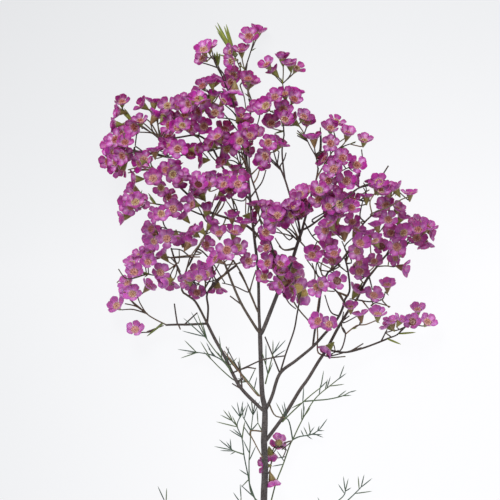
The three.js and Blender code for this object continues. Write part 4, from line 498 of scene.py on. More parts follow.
def axis_of(flower):
    lean, way = math.radians(flower["lean"]), math.radians(flower["way"])
    return np.array([math.cos(way) * math.sin(lean), math.sin(way) * math.sin(lean),
                     math.cos(lean)])


def foot_of(flower):
    return flower["at"] - axis_of(flower) * CALYX_LENGTH * flower["size"]


def side_of(flower):
    """The direction across a flower's axis that its first petal is counted from."""
    axis = axis_of(flower)
    return turned(any_across(axis), axis, flower["spin"])


print("leaning 90 degrees to the right:", axis_of({"lean": 90, "way": 0}).round(3))

# %% How wide a flower is open, and how low its petals reach
OPEN_ANGLE = 76  # degrees from the axis to the petals of a flower that faces up
SIDE_ANGLE = 58  # and of one that is seen from the side
BUD_ANGLE = 22
ANGLE_SPAN = 20  # degrees by which flowers differ
NARROW_FROM = 25  # degrees of lean from which a solid's petals end in one corner, not two
NARROW_STRETCH = 1.15  # and are longer by this
PETAL_TIP_WIDTH = 5.5  # of the solids


def opening_of(flower):
    """Degrees from the axis to the petals: wide in front, closer when seen from the side."""
    share = min(1, flower["lean"] / 90)
    if flower["bud"]:
        return BUD_ANGLE
    return (OPEN_ANGLE + (SIDE_ANGLE - OPEN_ANGLE) * share
            + ANGLE_SPAN * (flower["spread"] - 0.5))


def lowest_tip(flower):
    """The height of the lowest corner of the flower's solid."""
    axis, side = axis_of(flower), side_of(flower)
    other = np.cross(axis, side)
    narrow = flower["lean"] > NARROW_FROM
    length = (NARROW_STRETCH if narrow else 1) * PETAL_LENGTH * flower["size"]
    opening = math.radians(opening_of(flower))
    wide = CALYX_RIM * flower["size"] + length * math.sin(opening)
    half = math.atan(PETAL_TIP_WIDTH * flower["size"] / 2 / wide)
    heights = []
    for i in range(5):
        for aside in ([0] if narrow else [-half, half]):
            angle = (i + 0.5) / 5 * 2 * math.pi + aside
            reach = wide / math.cos(aside)
            corner = (flower["at"] + side * reach * math.cos(angle)
                      + other * reach * math.sin(angle))
            heights.append((corner + axis * length * math.cos(opening))[2])
    return min(heights)


print("an open flower spreads", round(math.sin(math.radians(OPEN_ANGLE)) * PETAL_LENGTH, 1),
      "mm past its calyx")

# %% Flowers that no solid has
# The solids leave out some flowers of the thickest clusters. They are set on top of the rest.
ADDED_FLOWERS = [  # spray, x, y, way, lean
    ("spray_right_w1", 276, 214, 120, 35), ("spray_right_w2", 296, 208, 100, 30),
    ("spray_right_w2", 288, 216, 200, 45), ("spray_left_m", 120, 157, 200, 40),
    ("spray_upper_left", 184, 124, 60, 35), ("spray_left_n2", 175, 175, 350, 30),
    ("spray_right_h3", 384, 203, 120, 45), ("spray_middle_s2", 238, 183, 90, 25),
    ("spray_left_o", 135, 200, 110, 35), ("spray_right_g2", 332, 168, 120, 30),
    ("spray_right_w3", 341, 204, 20, 35), ("spray_tip_right", 264, 105, 130, 40),
    ("spray_right_z2", 333, 251, 100, 40), ("spray_tip_right", 286, 118, 60, 40),
    ("spray_right_g2", 319, 188, 80, 35), ("spray_tip", 248, 76, 90, 50),
    ("spray_tip_left", 203, 48, 110, 50), ("spray_right_tip", 418, 227, 90, 40),
    ("spray_right_h2", 381, 188, 60, 45), ("spray_left_u", 199, 275, 90, 40),
    ("spray_left_s1", 200, 183, 60, 35), ("spray_axis_r3", 250, 134, 90, 35),
    ("spray_tip_right", 305, 115, 60, 50), ("spray_right_tip", 402, 231, 130, 35),
    ("spray_left_p", 152, 243, 220, 40), ("spray_upper_r4", 263, 158, 210, 40),
]
ADDED_HIGHEST = 86  # millimetres above the table
print("added flowers:", len(ADDED_FLOWERS))

# %% How high a flower stands
LEVEL_FROM = 60  # degrees of lean from which a flower stands lower on its twig
HANGS_FROM = 100  # degrees of lean from which it hangs
HANG = 0.5  # share of its stalk that it hangs down
LEAST_LIFT = 0.2  # millimetres: a smaller lift isn't needed
SLACK = 0.01  # so that rounding doesn't count as touching


def standing(lean):
    """How far a flower stands above its twig for the way it leans, as a share of its stalk."""
    if lean <= LEVEL_FROM:
        return 1
    return (HANGS_FROM - lean) / (HANGS_FROM - LEVEL_FROM) if lean <= HANGS_FROM else -HANG


def clear_height(x, y, z, lowest, others, most_lift):
    """The nearest height over z that is clear of the others, or under it if that is too far."""
    near = []
    for other_x, other_y, other_z, reach, stack in others:
        dx, dy = x - other_x, y - other_y
        need = stack * (1 - (dx * dx + dy * dy) / (reach * reach))
        if need > LEAST_LIFT:
            near.append((other_z, need))

    def clear(height):
        return all(abs(height - other_z) >= need - SLACK for other_z, need in near)

    up = [h for h in [z] + [oz + need for oz, need in near] if h >= z and clear(h)]
    down = [h for h in [oz - need for oz, need in near] if lowest <= h <= z and clear(h)]
    lift = min(up) - z
    drop = z - max(down, default=-math.inf)
    return z - drop if lift > most_lift and drop < lift else z + lift


print("a flower that leans 80 degrees stands", standing(80), "of its stalk above the twig")

# %% The flowers' places
SIZE_LEAST = 0.92  # of the smallest flower, as a share
SIZE_SPAN = 0.2  # by which flowers differ in size
FLOWER_MIDDLE = 3.6  # along its axis, from its seat on the calyx to the middle that is drawn
FLOWER_REACH = 13  # flowers nearer than this in plan stand one above the other
FLOWER_STACK = 10  # by this much where they share one place
LIMB_REACH = 6  # the same for a limb
LIMB_STACK = 6
MOST_LIFT = 14  # a flower that would be lifted more goes below the others
LOW_OPEN = 6  # lowest height of a flower that faces up
LOW_SIDE = 9.5  # and of one that is seen from the side
PETAL_TURN = 72  # degrees from petal to petal


def lay_flowers():
    """Every flower's place, size and turn, in the order that the plan gives."""
    laid = []
    solids = []
    for _, _, run in LIMBS:
        for start, end in zip(run, run[1:]):
            a, b = place(start), place(end)
            solids.append((*((a + b) / 2), LIMB_REACH, LIMB_STACK))
            solids.append((*b, LIMB_REACH, LIMB_STACK))
    throw = dice(SEED)
    twigs_of = {name: twigs for name, twigs, _ in SPRAYS}
    drawn = [(name, flower, MOST_LIFT) for name, _, flowers in SPRAYS for flower in flowers]
    drawn += [(name, flower, math.inf) for name, *flower in ADDED_FLOWERS]
    for name, (sheet_x, sheet_y, way, lean, *note), most_lift in drawn:
        at = place((sheet_x, sheet_y, 0))
        at[:2] -= FLOWER_MIDDLE * axis_of({"way": way, "lean": lean})[:2]
        far, foot = foot_on(twigs_of[name], at[0], at[1])
        rise = standing(lean) * math.sqrt(max(0, PEDICEL_LENGTH * PEDICEL_LENGTH - far))
        lowest = LOW_SIDE if lean > LEVEL_FROM else LOW_OPEN
        at[2] = clear_height(at[0], at[1], max(foot[2] + rise, lowest), lowest, solids, most_lift)
        flower = {"spray": name, "sheet": (sheet_x, sheet_y), "at": at, "way": way, "lean": lean,
                  "size": SIZE_LEAST + SIZE_SPAN * next(throw),
                  "spin": PETAL_TURN * next(throw), "spread": next(throw),
                  "bud": note == ["bud"], "added": most_lift > MOST_LIFT}
        if note == ["rests"]:
            at[2] -= lowest_tip(flower)
        if flower["added"]:
            at[2] = min(at[2], ADDED_HIGHEST)
        laid.append(flower)
        solids.append((*at, FLOWER_REACH, FLOWER_STACK))
    return laid


flowers = lay_flowers()
print("flowers:", len(flowers), "highest:", round(max(f["at"][2] for f in flowers), 1), "mm")

# %% How far a point is from the bark
LIMB_SIDES = 5  # of the stem's solid
LIMB_TURN = 2 * math.pi / LIMB_SIDES
CORNER_REACH = np.sqrt(LIMB_TURN / math.sin(LIMB_TURN))  # its section is as large as a round one

limb_pieces = []  # each: start, run, radius at the start, its change, and whether it is the last
for start_radius, end_radius, run in LIMBS:
    points = [place(point) for point in run]
    step = (end_radius - start_radius) / (len(run) - 1)
    for i, (start, end) in enumerate(zip(points, points[1:])):
        limb_pieces.append((start, end - start, start_radius + step * i, step,
                            i == len(run) - 2))
limb_starts, limb_runs, limb_radii, limb_steps, limb_ends = map(np.array, zip(*limb_pieces))
limb_squares = (limb_runs ** 2).sum(1)


def off_bark(point):
    """Millimetres from a point to the bark of the nearest limb."""
    t = ((point - limb_starts) * limb_runs).sum(1) / limb_squares
    share = np.clip(t, 0, 1)
    beyond = np.maximum(0, t - 1) * np.sqrt(limb_squares)
    apart = np.linalg.norm(limb_starts + limb_runs * share[:, None] - point, axis=1)
    far = apart - (limb_radii + limb_steps * share) * CORNER_REACH
    return float(np.where(limb_ends, np.maximum(far, beyond), far).min())


print("pieces of limb:", len(limb_pieces))

# %% Where the twigs run
GAP = 0.35  # between the bark and the solid of a spray
TWIG_CLEAR = GAP + TWIG_RADIUS / 2
STEP = 0.1  # the start of a twig moves out of the bark in steps of this
FORK_SHARE = 0.3  # of the first piece of the first twig, where the others spring from it


def runs_of(twigs):
    """The twigs' runs. The first starts just off the bark, and others spring from it."""
    runs = [[place(point) for point in twig] for twig in twigs]
    first, run = runs[0][0].copy(), runs[0][1] - runs[0][0]
    start = first.copy()
    steps = math.ceil(length_of(run) / STEP)
    i = 0
    while i < steps and off_bark(start) < TWIG_CLEAR:
        start = first + run * (i / steps)
        i += 1
    runs[0][0] = start
    for other in runs[1:]:
        if off_bark(other[0]) < TWIG_CLEAR:
            other[0] = start + (runs[0][1] - start) * FORK_SHARE
    return runs


print("the first spray's twigs start at", runs_of(SPRAYS[0][1])[0][0].round(1), "mm")

# %% Where a flower's stalk leaves its twig
TEST_SHARES = (0.3, 0.45, 0.6, 0.75, 0.9)  # of a stalk, where it is tested against the limbs
ROOT_SHARES = (0.2, 0.5, 0.8)  # of each piece of a twig, where a stalk may leave it
ROOT_SPREAD = 0.12  # by which these shares differ from flower to flower
BEND_COST = 5  # millimetres of length that a right-angled bend counts for
LIMB_COST = 20  # and that a limb in the way counts for
END_REACH = 1.3  # stalk lengths that a twig runs on to a flower ahead of its end
END_AHEAD = 0.3  # the least cosine between the two


def through_limb(a, b):
    return any(off_bark(a + (b - a) * share) < GAP + PEDICEL_RADIUS for share in TEST_SHARES)


def root_of(runs, flower):
    """Where a flower's stalk leaves the twigs."""
    axis, foot = axis_of(flower), foot_of(flower)
    best = None
    for run in runs:
        for a, b in zip(run, run[1:]):
            for share in ROOT_SHARES:
                at = a + (b - a) * (share + ROOT_SPREAD * (flower["spread"] - 0.5))
                stalk = foot - at
                length = length_of(stalk)
                cost = abs(length - PEDICEL_LENGTH)
                cost += BEND_COST * (1 - float(np.dot(stalk, axis)) / length)
                cost += LIMB_COST if through_limb(at, foot) else 0
                if best is None or cost < best[0]:
                    best = (cost, at)
    return best[1]


def end_flower(points, waiting):
    """The flower that a twig runs on into, if there is one ahead of its end."""
    end = points[-1]
    best = None
    for flower in waiting:
        run = foot_of(flower) - end
        far = length_of(run)
        ahead = float(np.dot(run, axis_of(flower))) / far
        close = far < END_REACH * PEDICEL_LENGTH and ahead > END_AHEAD
        if close and not through_limb(end, foot_of(flower)):
            if best is None or far < best[0]:
                best = (far, flower)
    return best and best[1]


print("a stalk may leave a twig at", ROOT_SHARES, "of each of its pieces")

# %% All twigs, and the root of every stalk
FREE_END = 0.6  # share of its girth that a twig keeps to a free end
FLOWER_END = 0.75  # and to an end that runs on into a flower

twig_runs = []  # each: points, radius at the end
for name, twigs, _ in SPRAYS:
    grown_here = [flower for flower in flowers if flower["spray"] == name]
    waiting = [flower for flower in grown_here if not flower["added"]]
    runs = runs_of(twigs)
    for number, points in enumerate(runs):
        flower = end_flower(points, waiting)
        if number == 0:
            points = [place(twigs[0][0])] + points[1:]
        if flower is None:
            twig_runs.append((points, TWIG_RADIUS * FREE_END))
        else:
            waiting.remove(flower)
            flower["root"] = points[-1]
            twig_runs.append((points, TWIG_RADIUS * FLOWER_END))
    for flower in waiting + [flower for flower in grown_here if flower["added"]]:
        flower["root"] = root_of(runs, flower)
print("twigs:", len(twig_runs), "stalks:", sum("root" in flower for flower in flowers))

# %% Test the layout against the solids
DISC_HEIGHT = 1.5  # of a solid's disc over the flower's seat

worst = 0
for name, _, _ in SPRAYS:
    corners = np.array([v.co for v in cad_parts[name].data.vertices]) / MM
    for flower in flowers:
        if flower["spray"] == name and not flower["added"]:
            top = flower["at"] + axis_of(flower) * DISC_HEIGHT * flower["size"]
            worst = max(worst, float(np.linalg.norm(corners - top, axis=1).min()))
print("a flower's centre is at most", round(worst, 3), "mm from its solid's")

# %% [markdown]
# ## Tools for nodes
#
# Geometry and material nodes are all made by one small function. It adds a node, sets it up,
# joins its inputs to values or to other nodes, and hands on the output that the next node
# needs. A few more functions put together what all materials, or all pieces, share.

# %% One function adds a node
def linear(colour):
    """An sRGB hex colour as linear RGBA."""
    channels = [int(colour[i:i + 2], 16) / 255 for i in (1, 3, 5)]
    return (*[c / 12.92 if c <= 0.04045 else ((c + 0.055) / 1.055) ** 2.4 for c in channels], 1)


def add(tree, kind, inputs=(), output=0, stops=(), **settings):
    """Adds a node and gives one of its output sockets.

    Inputs are given in order or by their names. Each is a number, a vector, an sRGB hex colour
    or the output socket of another node. Stops are the places and hex colours of a colour ramp.
    """
    node = tree.nodes.new(kind)
    for name, value in settings.items():
        setattr(node, name, value)
    if stops:
        while len(node.color_ramp.elements) < len(stops):
            node.color_ramp.elements.new(0.5)
        for element, (stop, colour) in zip(node.color_ramp.elements, stops):
            element.position = stop
            element.color = linear(colour)
    for key, value in (inputs.items() if isinstance(inputs, dict) else enumerate(inputs)):
        if isinstance(value, bpy.types.NodeSocket):
            tree.links.new(value, node.inputs[key])
        elif isinstance(value, str) and value.startswith("#"):
            node.inputs[key].default_value = linear(value)
        else:
            node.inputs[key].default_value = value
    return node.outputs[output] if len(node.outputs) else None


print("mid grey is", round(linear("#808080")[0], 3), "of white in linear colour")


# %% What all materials share
# A mix node has inputs and outputs for each kind of value. Its factor is input 0, its two
# colours are inputs 6 and 7, and the mixed colour is output 2.
def new_material(name, *carried_names):
    """A material and its tree, the place on the object, and what the object's points carry."""
    material = bpy.data.materials.new(name)
    material.use_nodes = True
    tree = material.node_tree
    tree.nodes.clear()
    where = add(tree, "ShaderNodeTexCoord", output="Object")
    return material, tree, where, [
        add(tree, "ShaderNodeAttribute", output="Fac", attribute_name=carried_name)
        for carried_name in carried_names]


def tinted(tree, colour, factor, tint, strength=1.0):
    """The colour with a tint over it where the factor is high."""
    share = add(tree, "ShaderNodeMath", (factor, strength), operation="MULTIPLY")
    return add(tree, "ShaderNodeMix", {0: share, 6: colour, 7: tint}, 2, data_type="RGBA")


def mottled(tree, where, colour, size, dark, edges, strength, detail=2.0):
    """The colour with dark spots about `size` millimetres across, and the noise behind them."""
    spots = add(tree, "ShaderNodeTexNoise",
                {"Vector": where, "Scale": 1 / (size * MM), "Detail": detail}, "Fac")
    shade = add(tree, "ShaderNodeValToRGB", {"Fac": spots},
                stops=((edges[0], dark), (edges[1], "#ffffff")))
    darker = add(tree, "ShaderNodeMix", {0: strength, 6: colour, 7: shade}, 2,
                 data_type="RGBA", blend_type="MULTIPLY")
    return darker, spots


def close_material(tree, inputs, height=None, strength=0.0, depth=0.0):
    """Ends a material with its shader. The depth of the bump is in millimetres."""
    if height is not None:
        bump = add(tree, "ShaderNodeBump",
                   {"Height": height, "Strength": strength, "Distance": depth * MM}, "Normal")
        inputs = {**inputs, "Normal": bump}
    shader = add(tree, "ShaderNodeBsdfPrincipled", inputs, "BSDF")
    add(tree, "ShaderNodeOutputMaterial", {"Surface": shader})


print("ready to mix finishes")


# %% How a geometry tree starts and ends
def new_tree(name, sizes):
    """A geometry tree with named inputs: name, socket type, default."""
    tree = bpy.data.node_groups.new(name, "GeometryNodeTree")
    tree.interface.new_socket("Geometry", in_out="INPUT", socket_type="NodeSocketGeometry")
    for size_name, socket_type, value in sizes + [("Material", "NodeSocketMaterial", None)]:
        socket = tree.interface.new_socket(size_name, in_out="INPUT", socket_type=socket_type)
        if value is not None:
            socket.default_value = value
    tree.interface.new_socket("Geometry", in_out="OUTPUT", socket_type="NodeSocketGeometry")
    return tree, add(tree, "NodeGroupInput").node.outputs


def close_tree(tree, given, geometry):
    """Ends a tree: real, smooth meshes with the tree's material."""
    real = add(tree, "GeometryNodeRealizeInstances", {"Geometry": geometry})
    smooth = add(tree, "GeometryNodeSetShadeSmooth", {"Geometry": real})
    painted = add(tree, "GeometryNodeSetMaterial",
                  {"Geometry": smooth, "Material": given["Material"]})
    add(tree, "NodeGroupOutput", {"Geometry": painted})


print("ready to plant trees")


# %% Meshes in millimetres, and a tree run on a mesh
def mesh_of(name, points, edges=(), faces=()):
    """A mesh from points in millimetres."""
    mesh = bpy.data.meshes.new(name)
    mesh.from_pydata([tuple(float(v) * MM for v in p) for p in points], edges, faces)
    return mesh


def set_attribute(mesh, name, values):
    """Gives each point of a mesh a number or a vector of its own."""
    values = np.array(values, np.float32)
    kind, field = ("FLOAT_VECTOR", "vector") if values.ndim == 2 else ("FLOAT", "value")
    mesh.attributes.new(name, kind, "POINT").data.foreach_set(field, values.ravel())


def grown(name, mesh, tree, sizes, material):
    """Runs a tree on a mesh and keeps the result as a plain mesh."""
    piece = bpy.data.objects.new(name, mesh)
    bpy.context.scene.collection.objects.link(piece)
    modifier = piece.modifiers.new(tree.name, "NODES")
    modifier.node_group = tree
    keys = {item.name: item.identifier for item in tree.interface.items_tree
            if item.in_out == "INPUT"}
    for key, value in {**sizes, "Material": material}.items():
        modifier[keys[key]] = value
    evaluated = piece.evaluated_get(bpy.context.evaluated_depsgraph_get())
    plain = bpy.data.meshes.new_from_object(evaluated)
    piece.modifiers.clear()
    piece.data = plain
    plain.name = name
    plain.materials.clear()
    plain.materials.append(material)
    print(name, "triangles:", sum(len(p.vertices) - 2 for p in plain.polygons))
    return piece


print("ready to grow pieces")

# %% [markdown]
# ## Bark and young wood
#
# The stem of a waxflower is grey-brown and dull, with fine cracks along it, and the thinnest
# twigs are still olive, tan or reddish. Every point of the wood carries its girth and a tone
# of its own, and the colour follows both. The cracks are about half a millimetre apart, and a
# noise drawn at 1.2 mm stands for them, so that they still show from a step away.

# %% Material: young bark
def young_bark():
    """Dry bark: dull all over, grey-brown where the wood is thick and warmer where it is thin."""
    material, tree, where, (girth, tone) = new_material("young_bark", "girth", "tone")
    thick = add(tree, "ShaderNodeMapRange", {"Value": girth, "From Min": 0.5, "From Max": 1.8})
    young = add(tree, "ShaderNodeValToRGB", {"Fac": tone},
                stops=((0.0, "#4e4139"), (0.4, "#61504a"), (0.7, "#7e6e54"), (1.0, "#9c785a")))
    patches = add(tree, "ShaderNodeTexNoise",
                  {"Vector": where, "Scale": 1 / (9 * MM), "Detail": 2.0}, "Fac")
    old = add(tree, "ShaderNodeValToRGB", {"Fac": patches},
              stops=((0.3, "#544d4d"), (0.7, "#716967")))
    wood = tinted(tree, young, thick, old)
    wood, cracks = mottled(tree, where, wood, 1.2, "#8c8480", (0.35, 0.6), 0.7, detail=4.0)
    close_material(tree, {"Base Color": wood, "Roughness": 0.75}, cracks, 0.5, 0.15)
    return material


bark = young_bark()
print("made", bark.name)

# %% [markdown]
# ## Wood that follows its run
#
# A limb is a round tube along a run of points that gets thinner towards its end. One geometry
# tree makes all of them: it turns the drawn edges into smooth curves, thickens each by the
# girth that its points carry, swells it a little at random as real wood does, and closes its
# ends. The limbs start inside the wood they grow from, so they look grown together.

# %% Tree: tube along a run
def tube_tree():
    tree, given = new_tree("tube_along_run", [
        ("Point spacing", "NodeSocketFloat", 2.0 * MM),
        ("Sides", "NodeSocketInt", 8),
        ("Swelling", "NodeSocketFloat", 0.12),
        ("Swelling length", "NodeSocketFloat", 9.0 * MM)])
    curve = add(tree, "GeometryNodeMeshToCurve", {"Mesh": given["Geometry"]})
    smooth = add(tree, "GeometryNodeCurveSplineType", {"Curve": curve},
                 spline_type="CATMULL_ROM")
    even = add(tree, "GeometryNodeResampleCurve",
               {"Curve": smooth, "Length": given["Point spacing"]}, mode="LENGTH")
    scale = add(tree, "ShaderNodeMath", (1.0, given["Swelling length"]), operation="DIVIDE")
    lumps = add(tree, "ShaderNodeTexNoise", {"Scale": scale, "Detail": 1.0}, "Fac")
    centred = add(tree, "ShaderNodeMath", (lumps, 0.5), operation="SUBTRACT")
    swell = add(tree, "ShaderNodeMath", (centred, given["Swelling"], 1.0),
                operation="MULTIPLY_ADD")
    girth = add(tree, "GeometryNodeInputNamedAttribute", {"Name": "girth"}, "Attribute",
                data_type="FLOAT")
    radius = add(tree, "ShaderNodeMath", (girth, swell), operation="MULTIPLY")
    metres = add(tree, "ShaderNodeMath", (radius, MM), operation="MULTIPLY")
    section = add(tree, "GeometryNodeCurvePrimitiveCircle",
                  {"Resolution": given["Sides"], "Radius": 1.0})
    tubes = add(tree, "GeometryNodeCurveToMesh",
                {"Curve": even, "Profile Curve": section, "Scale": metres, "Fill Caps": True})
    close_tree(tree, given, tubes)
    return tree


tube = tube_tree()
print("inputs:", [item.name for item in tube.interface.items_tree if item.in_out == "INPUT"])


# %% The woody stem
THICK_GIRTH = 1.9  # millimetres: a limb as thick as this is as thick as its solid
THIN_GIRTH = 0.28  # millimetres that the thinnest limbs are thicker than their solids
LIMB_TONE = 0.6  # the lightest limb


def run_mesh(name, runs):
    """Edges along runs. Each run is (points, girth at each point, tone)."""
    points, edges, girths, tones = [], [], [], []
    for run, run_girths, tone in runs:
        first = len(points)
        points += list(run)
        edges += [(i, i + 1) for i in range(first, len(points) - 1)]
        girths += list(run_girths)
        tones += [tone] * len(run)
    mesh = mesh_of(name, points, edges)
    set_attribute(mesh, "girth", girths)
    set_attribute(mesh, "tone", tones)
    return mesh


throw_tone = dice(77)
limb_list = []
for start_radius, end_radius, run in LIMBS:
    girths = np.linspace(start_radius, end_radius, len(run))
    girths = np.maximum(girths, THIN_GIRTH + (1 - THIN_GIRTH / THICK_GIRTH) * girths)
    limb_list.append(([place(point) for point in run], girths, next(throw_tone) * LIMB_TONE))
stem = grown("woody_stem_fine", run_mesh("limbs", limb_list), tube,
             {"Point spacing": 2.5 * MM, "Sides": 12, "Swelling": 0.16,
              "Swelling length": 11 * MM}, bark)

# %% [markdown]
# ## Twigs and flower stalks
#
# Every spray has a few thin twigs, and from them each flower stands on a stalk about a
# centimetre long that bends up into it. The stalks are short curves: they leave the twig in
# the direction of the flower and end along its axis.

# %% Runs of the twigs and stalks
STALK_POINTS = 6
STALK_BEND = 0.35  # how far before the calyx a stalk turns into the flower's axis
SHORTEST_BEND = 0.3  # share of that for a stalk that has to turn back
STALK_GIRTHS = (0.46, 0.5)  # at the twig and at the calyx
STALK_LOWEST = 0.6  # height of a stalk that lies on the table


def stalk(root, flower):
    foot, axis = foot_of(flower), axis_of(flower)
    run = foot - root
    reach = length_of(run)
    turn = max(SHORTEST_BEND, float(np.dot(run, axis)) / reach)
    bend = foot - axis * reach * STALK_BEND * turn
    shares = np.linspace(0, 1, STALK_POINTS)[:, None]
    return root * (1 - shares) ** 2 + bend * 2 * shares * (1 - shares) + foot * shares ** 2


twig_list = []
for points, end_radius in twig_runs:
    twig_list.append((points, np.linspace(TWIG_RADIUS, end_radius, len(points)),
                      next(throw_tone)))
for flower in flowers:
    line = stalk(flower["root"], flower)
    line[:, 2] += np.maximum(0, STALK_LOWEST - line[:, 2])
    girths = np.linspace(*STALK_GIRTHS, STALK_POINTS)
    girths[-1] = CALYX_FOOT * 1.1
    twig_list.append((line, girths, next(throw_tone)))
print("twigs and stalks:", len(twig_list))

# %% [markdown]
# ## Bare twigs
#
# Between the clusters there are many fine twigs that have lost their flowers or never had
# any. No rule gives them, so they are drawn one by one like the rest of the plan. Each starts at
# the nearest wood and rises a little from point to point. The crossing twigs pass over
# flowers or limbs, so some of their points have heights of their own.

# %% Bare twigs, drawn in squares of the sheet
BARE_TWIGS = [
    [(300, 240), (288, 235), (275, 232)], [(300, 240), (292, 231), (283, 225)],
    [(300, 240), (295, 231), (290, 222)], [(301, 240), (298, 230), (295, 220)],
    [(299, 240), (306, 248), (310, 252)], [(296, 249), (284, 250), (278, 243), (275, 238)],
    [(331, 287), (337, 292), (347, 308)], [(338, 292), (349, 296)], [(200, 254), (165, 258)],
    [(127, 279), (118, 269)], [(120, 282), (116, 283)], [(331, 312), (325, 295)],
    [(247, 292), (234, 286), (222, 283)], [(225, 264), (222, 255)], [(361, 165), (361, 150)],
    [(160, 138), (150, 122), (143, 118)], [(160, 138), (157, 121), (153, 112), (146, 108)],
    [(160, 138), (152, 133), (139, 132)], [(160, 138), (147, 126), (140, 121)],
    [(137, 131), (135, 146)], [(134, 148), (138, 158)], [(135, 146), (147, 154), (154, 153)],
    [(162, 173), (150, 168), (140, 167), (128, 170)], [(160, 173), (145, 170), (128, 173)],
    [(166, 157), (153, 153), (130, 151)], [(158, 172), (151, 165), (152, 157)],
    [(139, 118), (128, 121), (120, 125)], [(163, 220), (167, 229), (178, 232)],
    [(160, 227), (167, 229)], [(190, 257), (181, 250), (171, 249)], [(190, 257), (172, 258)],
    [(190, 257), (200, 257)], [(190, 257), (185, 273), (180, 279)], [(179, 262), (179, 250)],
    [(203, 252), (212, 262), (220, 275), (225, 283)], [(213, 264), (216, 283)],
    [(226, 265), (241, 263)], [(346, 303), (340, 294), (330, 286)], [(336, 291), (320, 290)],
    [(363, 301), (350, 299)], [(363, 300), (370, 310)], [(371, 307), (376, 303), (391, 307)],
    [(343, 322), (350, 316)], [(345, 323), (360, 315)], [(382, 342), (388, 330)],
    [(352, 351), (364, 344)], [(330, 358), (346, 357)], [(254, 187), (252, 180), (250, 168)],
    [(252, 184), (257, 178), (260, 168)], [(250, 198), (256, 190), (262, 182), (266, 170)],
    [(252, 175), (259, 167)], [(248, 215), (250, 198)], [(213, 218), (217, 210), (222, 200)],
    [(247, 168), (243, 150)], [(247, 165), (238, 152)], [(306, 140), (297, 131)],
    [(307, 142), (297, 136)], [(319, 152), (320, 141), (320, 128)], [(338, 143), (344, 139)],
    [(369, 201), (363, 188)], [(360, 217), (361, 208), (363, 200)], [(343, 258), (352, 245)],
    [(250, 292), (252, 283), (256, 270)], [(405, 248), (411, 240)],
    [(279, 169), (276, 160), (273, 150)], [(280, 166), (284, 160), (286, 153)],
    [(246, 215), (246, 198)], [(235, 212), (232, 199), (227, 193)], [(241, 168), (236, 152)],
    [(248, 172), (247, 160), (245, 146)], [(328, 357), (345, 353), (362, 348)],
    [(346, 333), (342, 326), (344, 312)], [(320, 153), (325, 151), (330, 148)],
    [(289, 240), (281, 232), (274, 226)], [(210, 288), (213, 280), (210, 272)],
    [(232, 262), (226, 272), (219, 280)], [(218, 282), (210, 272)], [(253, 240), (259, 230)],
    [(206, 288), (212, 276), (219, 264)], [(283, 293), (289, 303), (296, 309)],
    [(323, 276), (318, 264), (316, 254)], [(319, 277), (313, 268), (307, 260)],
    [(340, 266), (330, 271), (320, 270)], [(338, 265), (347, 272)], [(335, 273), (327, 271)],
    [(322, 275), (321, 265), (325, 256), (321, 238)],
    [(345, 262), (347, 253), (345, 246), (355, 236)], [(373, 263), (371, 250), (371, 236)],
    [(370, 277), (360, 276), (352, 273)], [(364, 284), (369, 276), (376, 268)],
    [(371, 278), (373, 290)], [(345, 263), (350, 252)], [(238, 131), (231, 122), (222, 112)],
    [(239, 119), (233, 112), (225, 105)], [(241, 123), (230, 119), (219, 118)],
    [(206, 221), (196, 203), (188, 193)], [(209, 215), (212, 205), (216, 194)],
    [(205, 219), (203, 208)], [(247, 196), (243, 201), (233, 199)],
    [(233, 210), (228, 203), (222, 196)], [(216, 216), (223, 206), (226, 196)],
    [(314, 285), (315, 274), (312, 263)], [(320, 280), (316, 270), (318, 258)],
    [(258, 396), (248, 384), (236, 368), (224, 351)], [(240, 372), (247, 368)],
    [(241, 391), (241, 378), (238, 362)], [(246, 367), (256, 369)], [(241, 391), (232, 384)],
    [(238, 372), (228, 358)], [(243, 378), (234, 362), (226, 347)],
    [(270, 404), (275, 416), (285, 418)], [(147, 314), (134, 304), (128, 298)],
    [(147, 314), (136, 307), (124, 304)], [(178, 325), (180, 330)], [(146, 332), (163, 326)],
    [(384, 302), (390, 308)], [(250, 432), (255, 444), (263, 459)], [(286, 449), (283, 459)],
    [(292, 442), (282, 451)], [(226, 80), (220, 70), (208, 65), (196, 62)],
    [(224, 76), (215, 63), (212, 51)], [(246, 172), (243, 158), (240, 146)],
    [(249, 172), (249, 156), (248, 146)], [(244, 171), (238, 160), (231, 155)],
    [(243, 168), (234, 161), (223, 160)], [(206, 148), (213, 158), (223, 167)],
    [(243, 170), (240, 158), (239, 147)], [(209, 290), (219, 280), (230, 271)],
    [(256, 309), (249, 290), (239, 272)], [(280, 168), (272, 160), (262, 152)],
    [(352, 262), (346, 250), (342, 241)], [(362, 199), (366, 190), (363, 183)],
    [(352, 206), (360, 196), (369, 190)],
]
print("bare twigs:", len(BARE_TWIGS))

# %% Crossing twigs, drawn in squares of the sheet and heights
CROSSING_TWIGS = [
   
    [(312, 220), (322, 214, 72), (335, 206, 84), (350, 195, 90), (360, 187, 91), (370, 184, 91)],
    [(371, 214), (378, 211, 80), (388, 207, 86), (400, 200, 84), (408, 197, 82)],
    [(371, 213, 78), (369, 202, 84), (374, 193, 86), (372, 187, 86)],
    [(210, 224), (203, 240, 66), (196, 249, 64), (190, 257, 56)],
    [(254, 240), (252, 222, 60), (250, 206, 66)], [(264, 236), (260, 220, 66), (256, 204, 70)],
    [(205, 235), (213, 218, 66), (221, 201, 70)], [(320, 154), (321, 141), (320, 130)],
    [(318, 352), (318, 335), (317, 318), (319, 300), (321, 288)],
    [(208, 290), (218, 281), (228, 271), (240, 262)], [(360, 222), (366, 221), (372, 214)],
    [(244, 78), (247, 88), (251, 98), (254, 109)], [(240, 84), (244, 96), (246, 110)],
    [(247, 62), (246, 70), (244, 80), (249, 92)], [(241, 62), (240, 74), (246, 88)],
]
print("crossing twigs:", len(CROSSING_TWIGS))

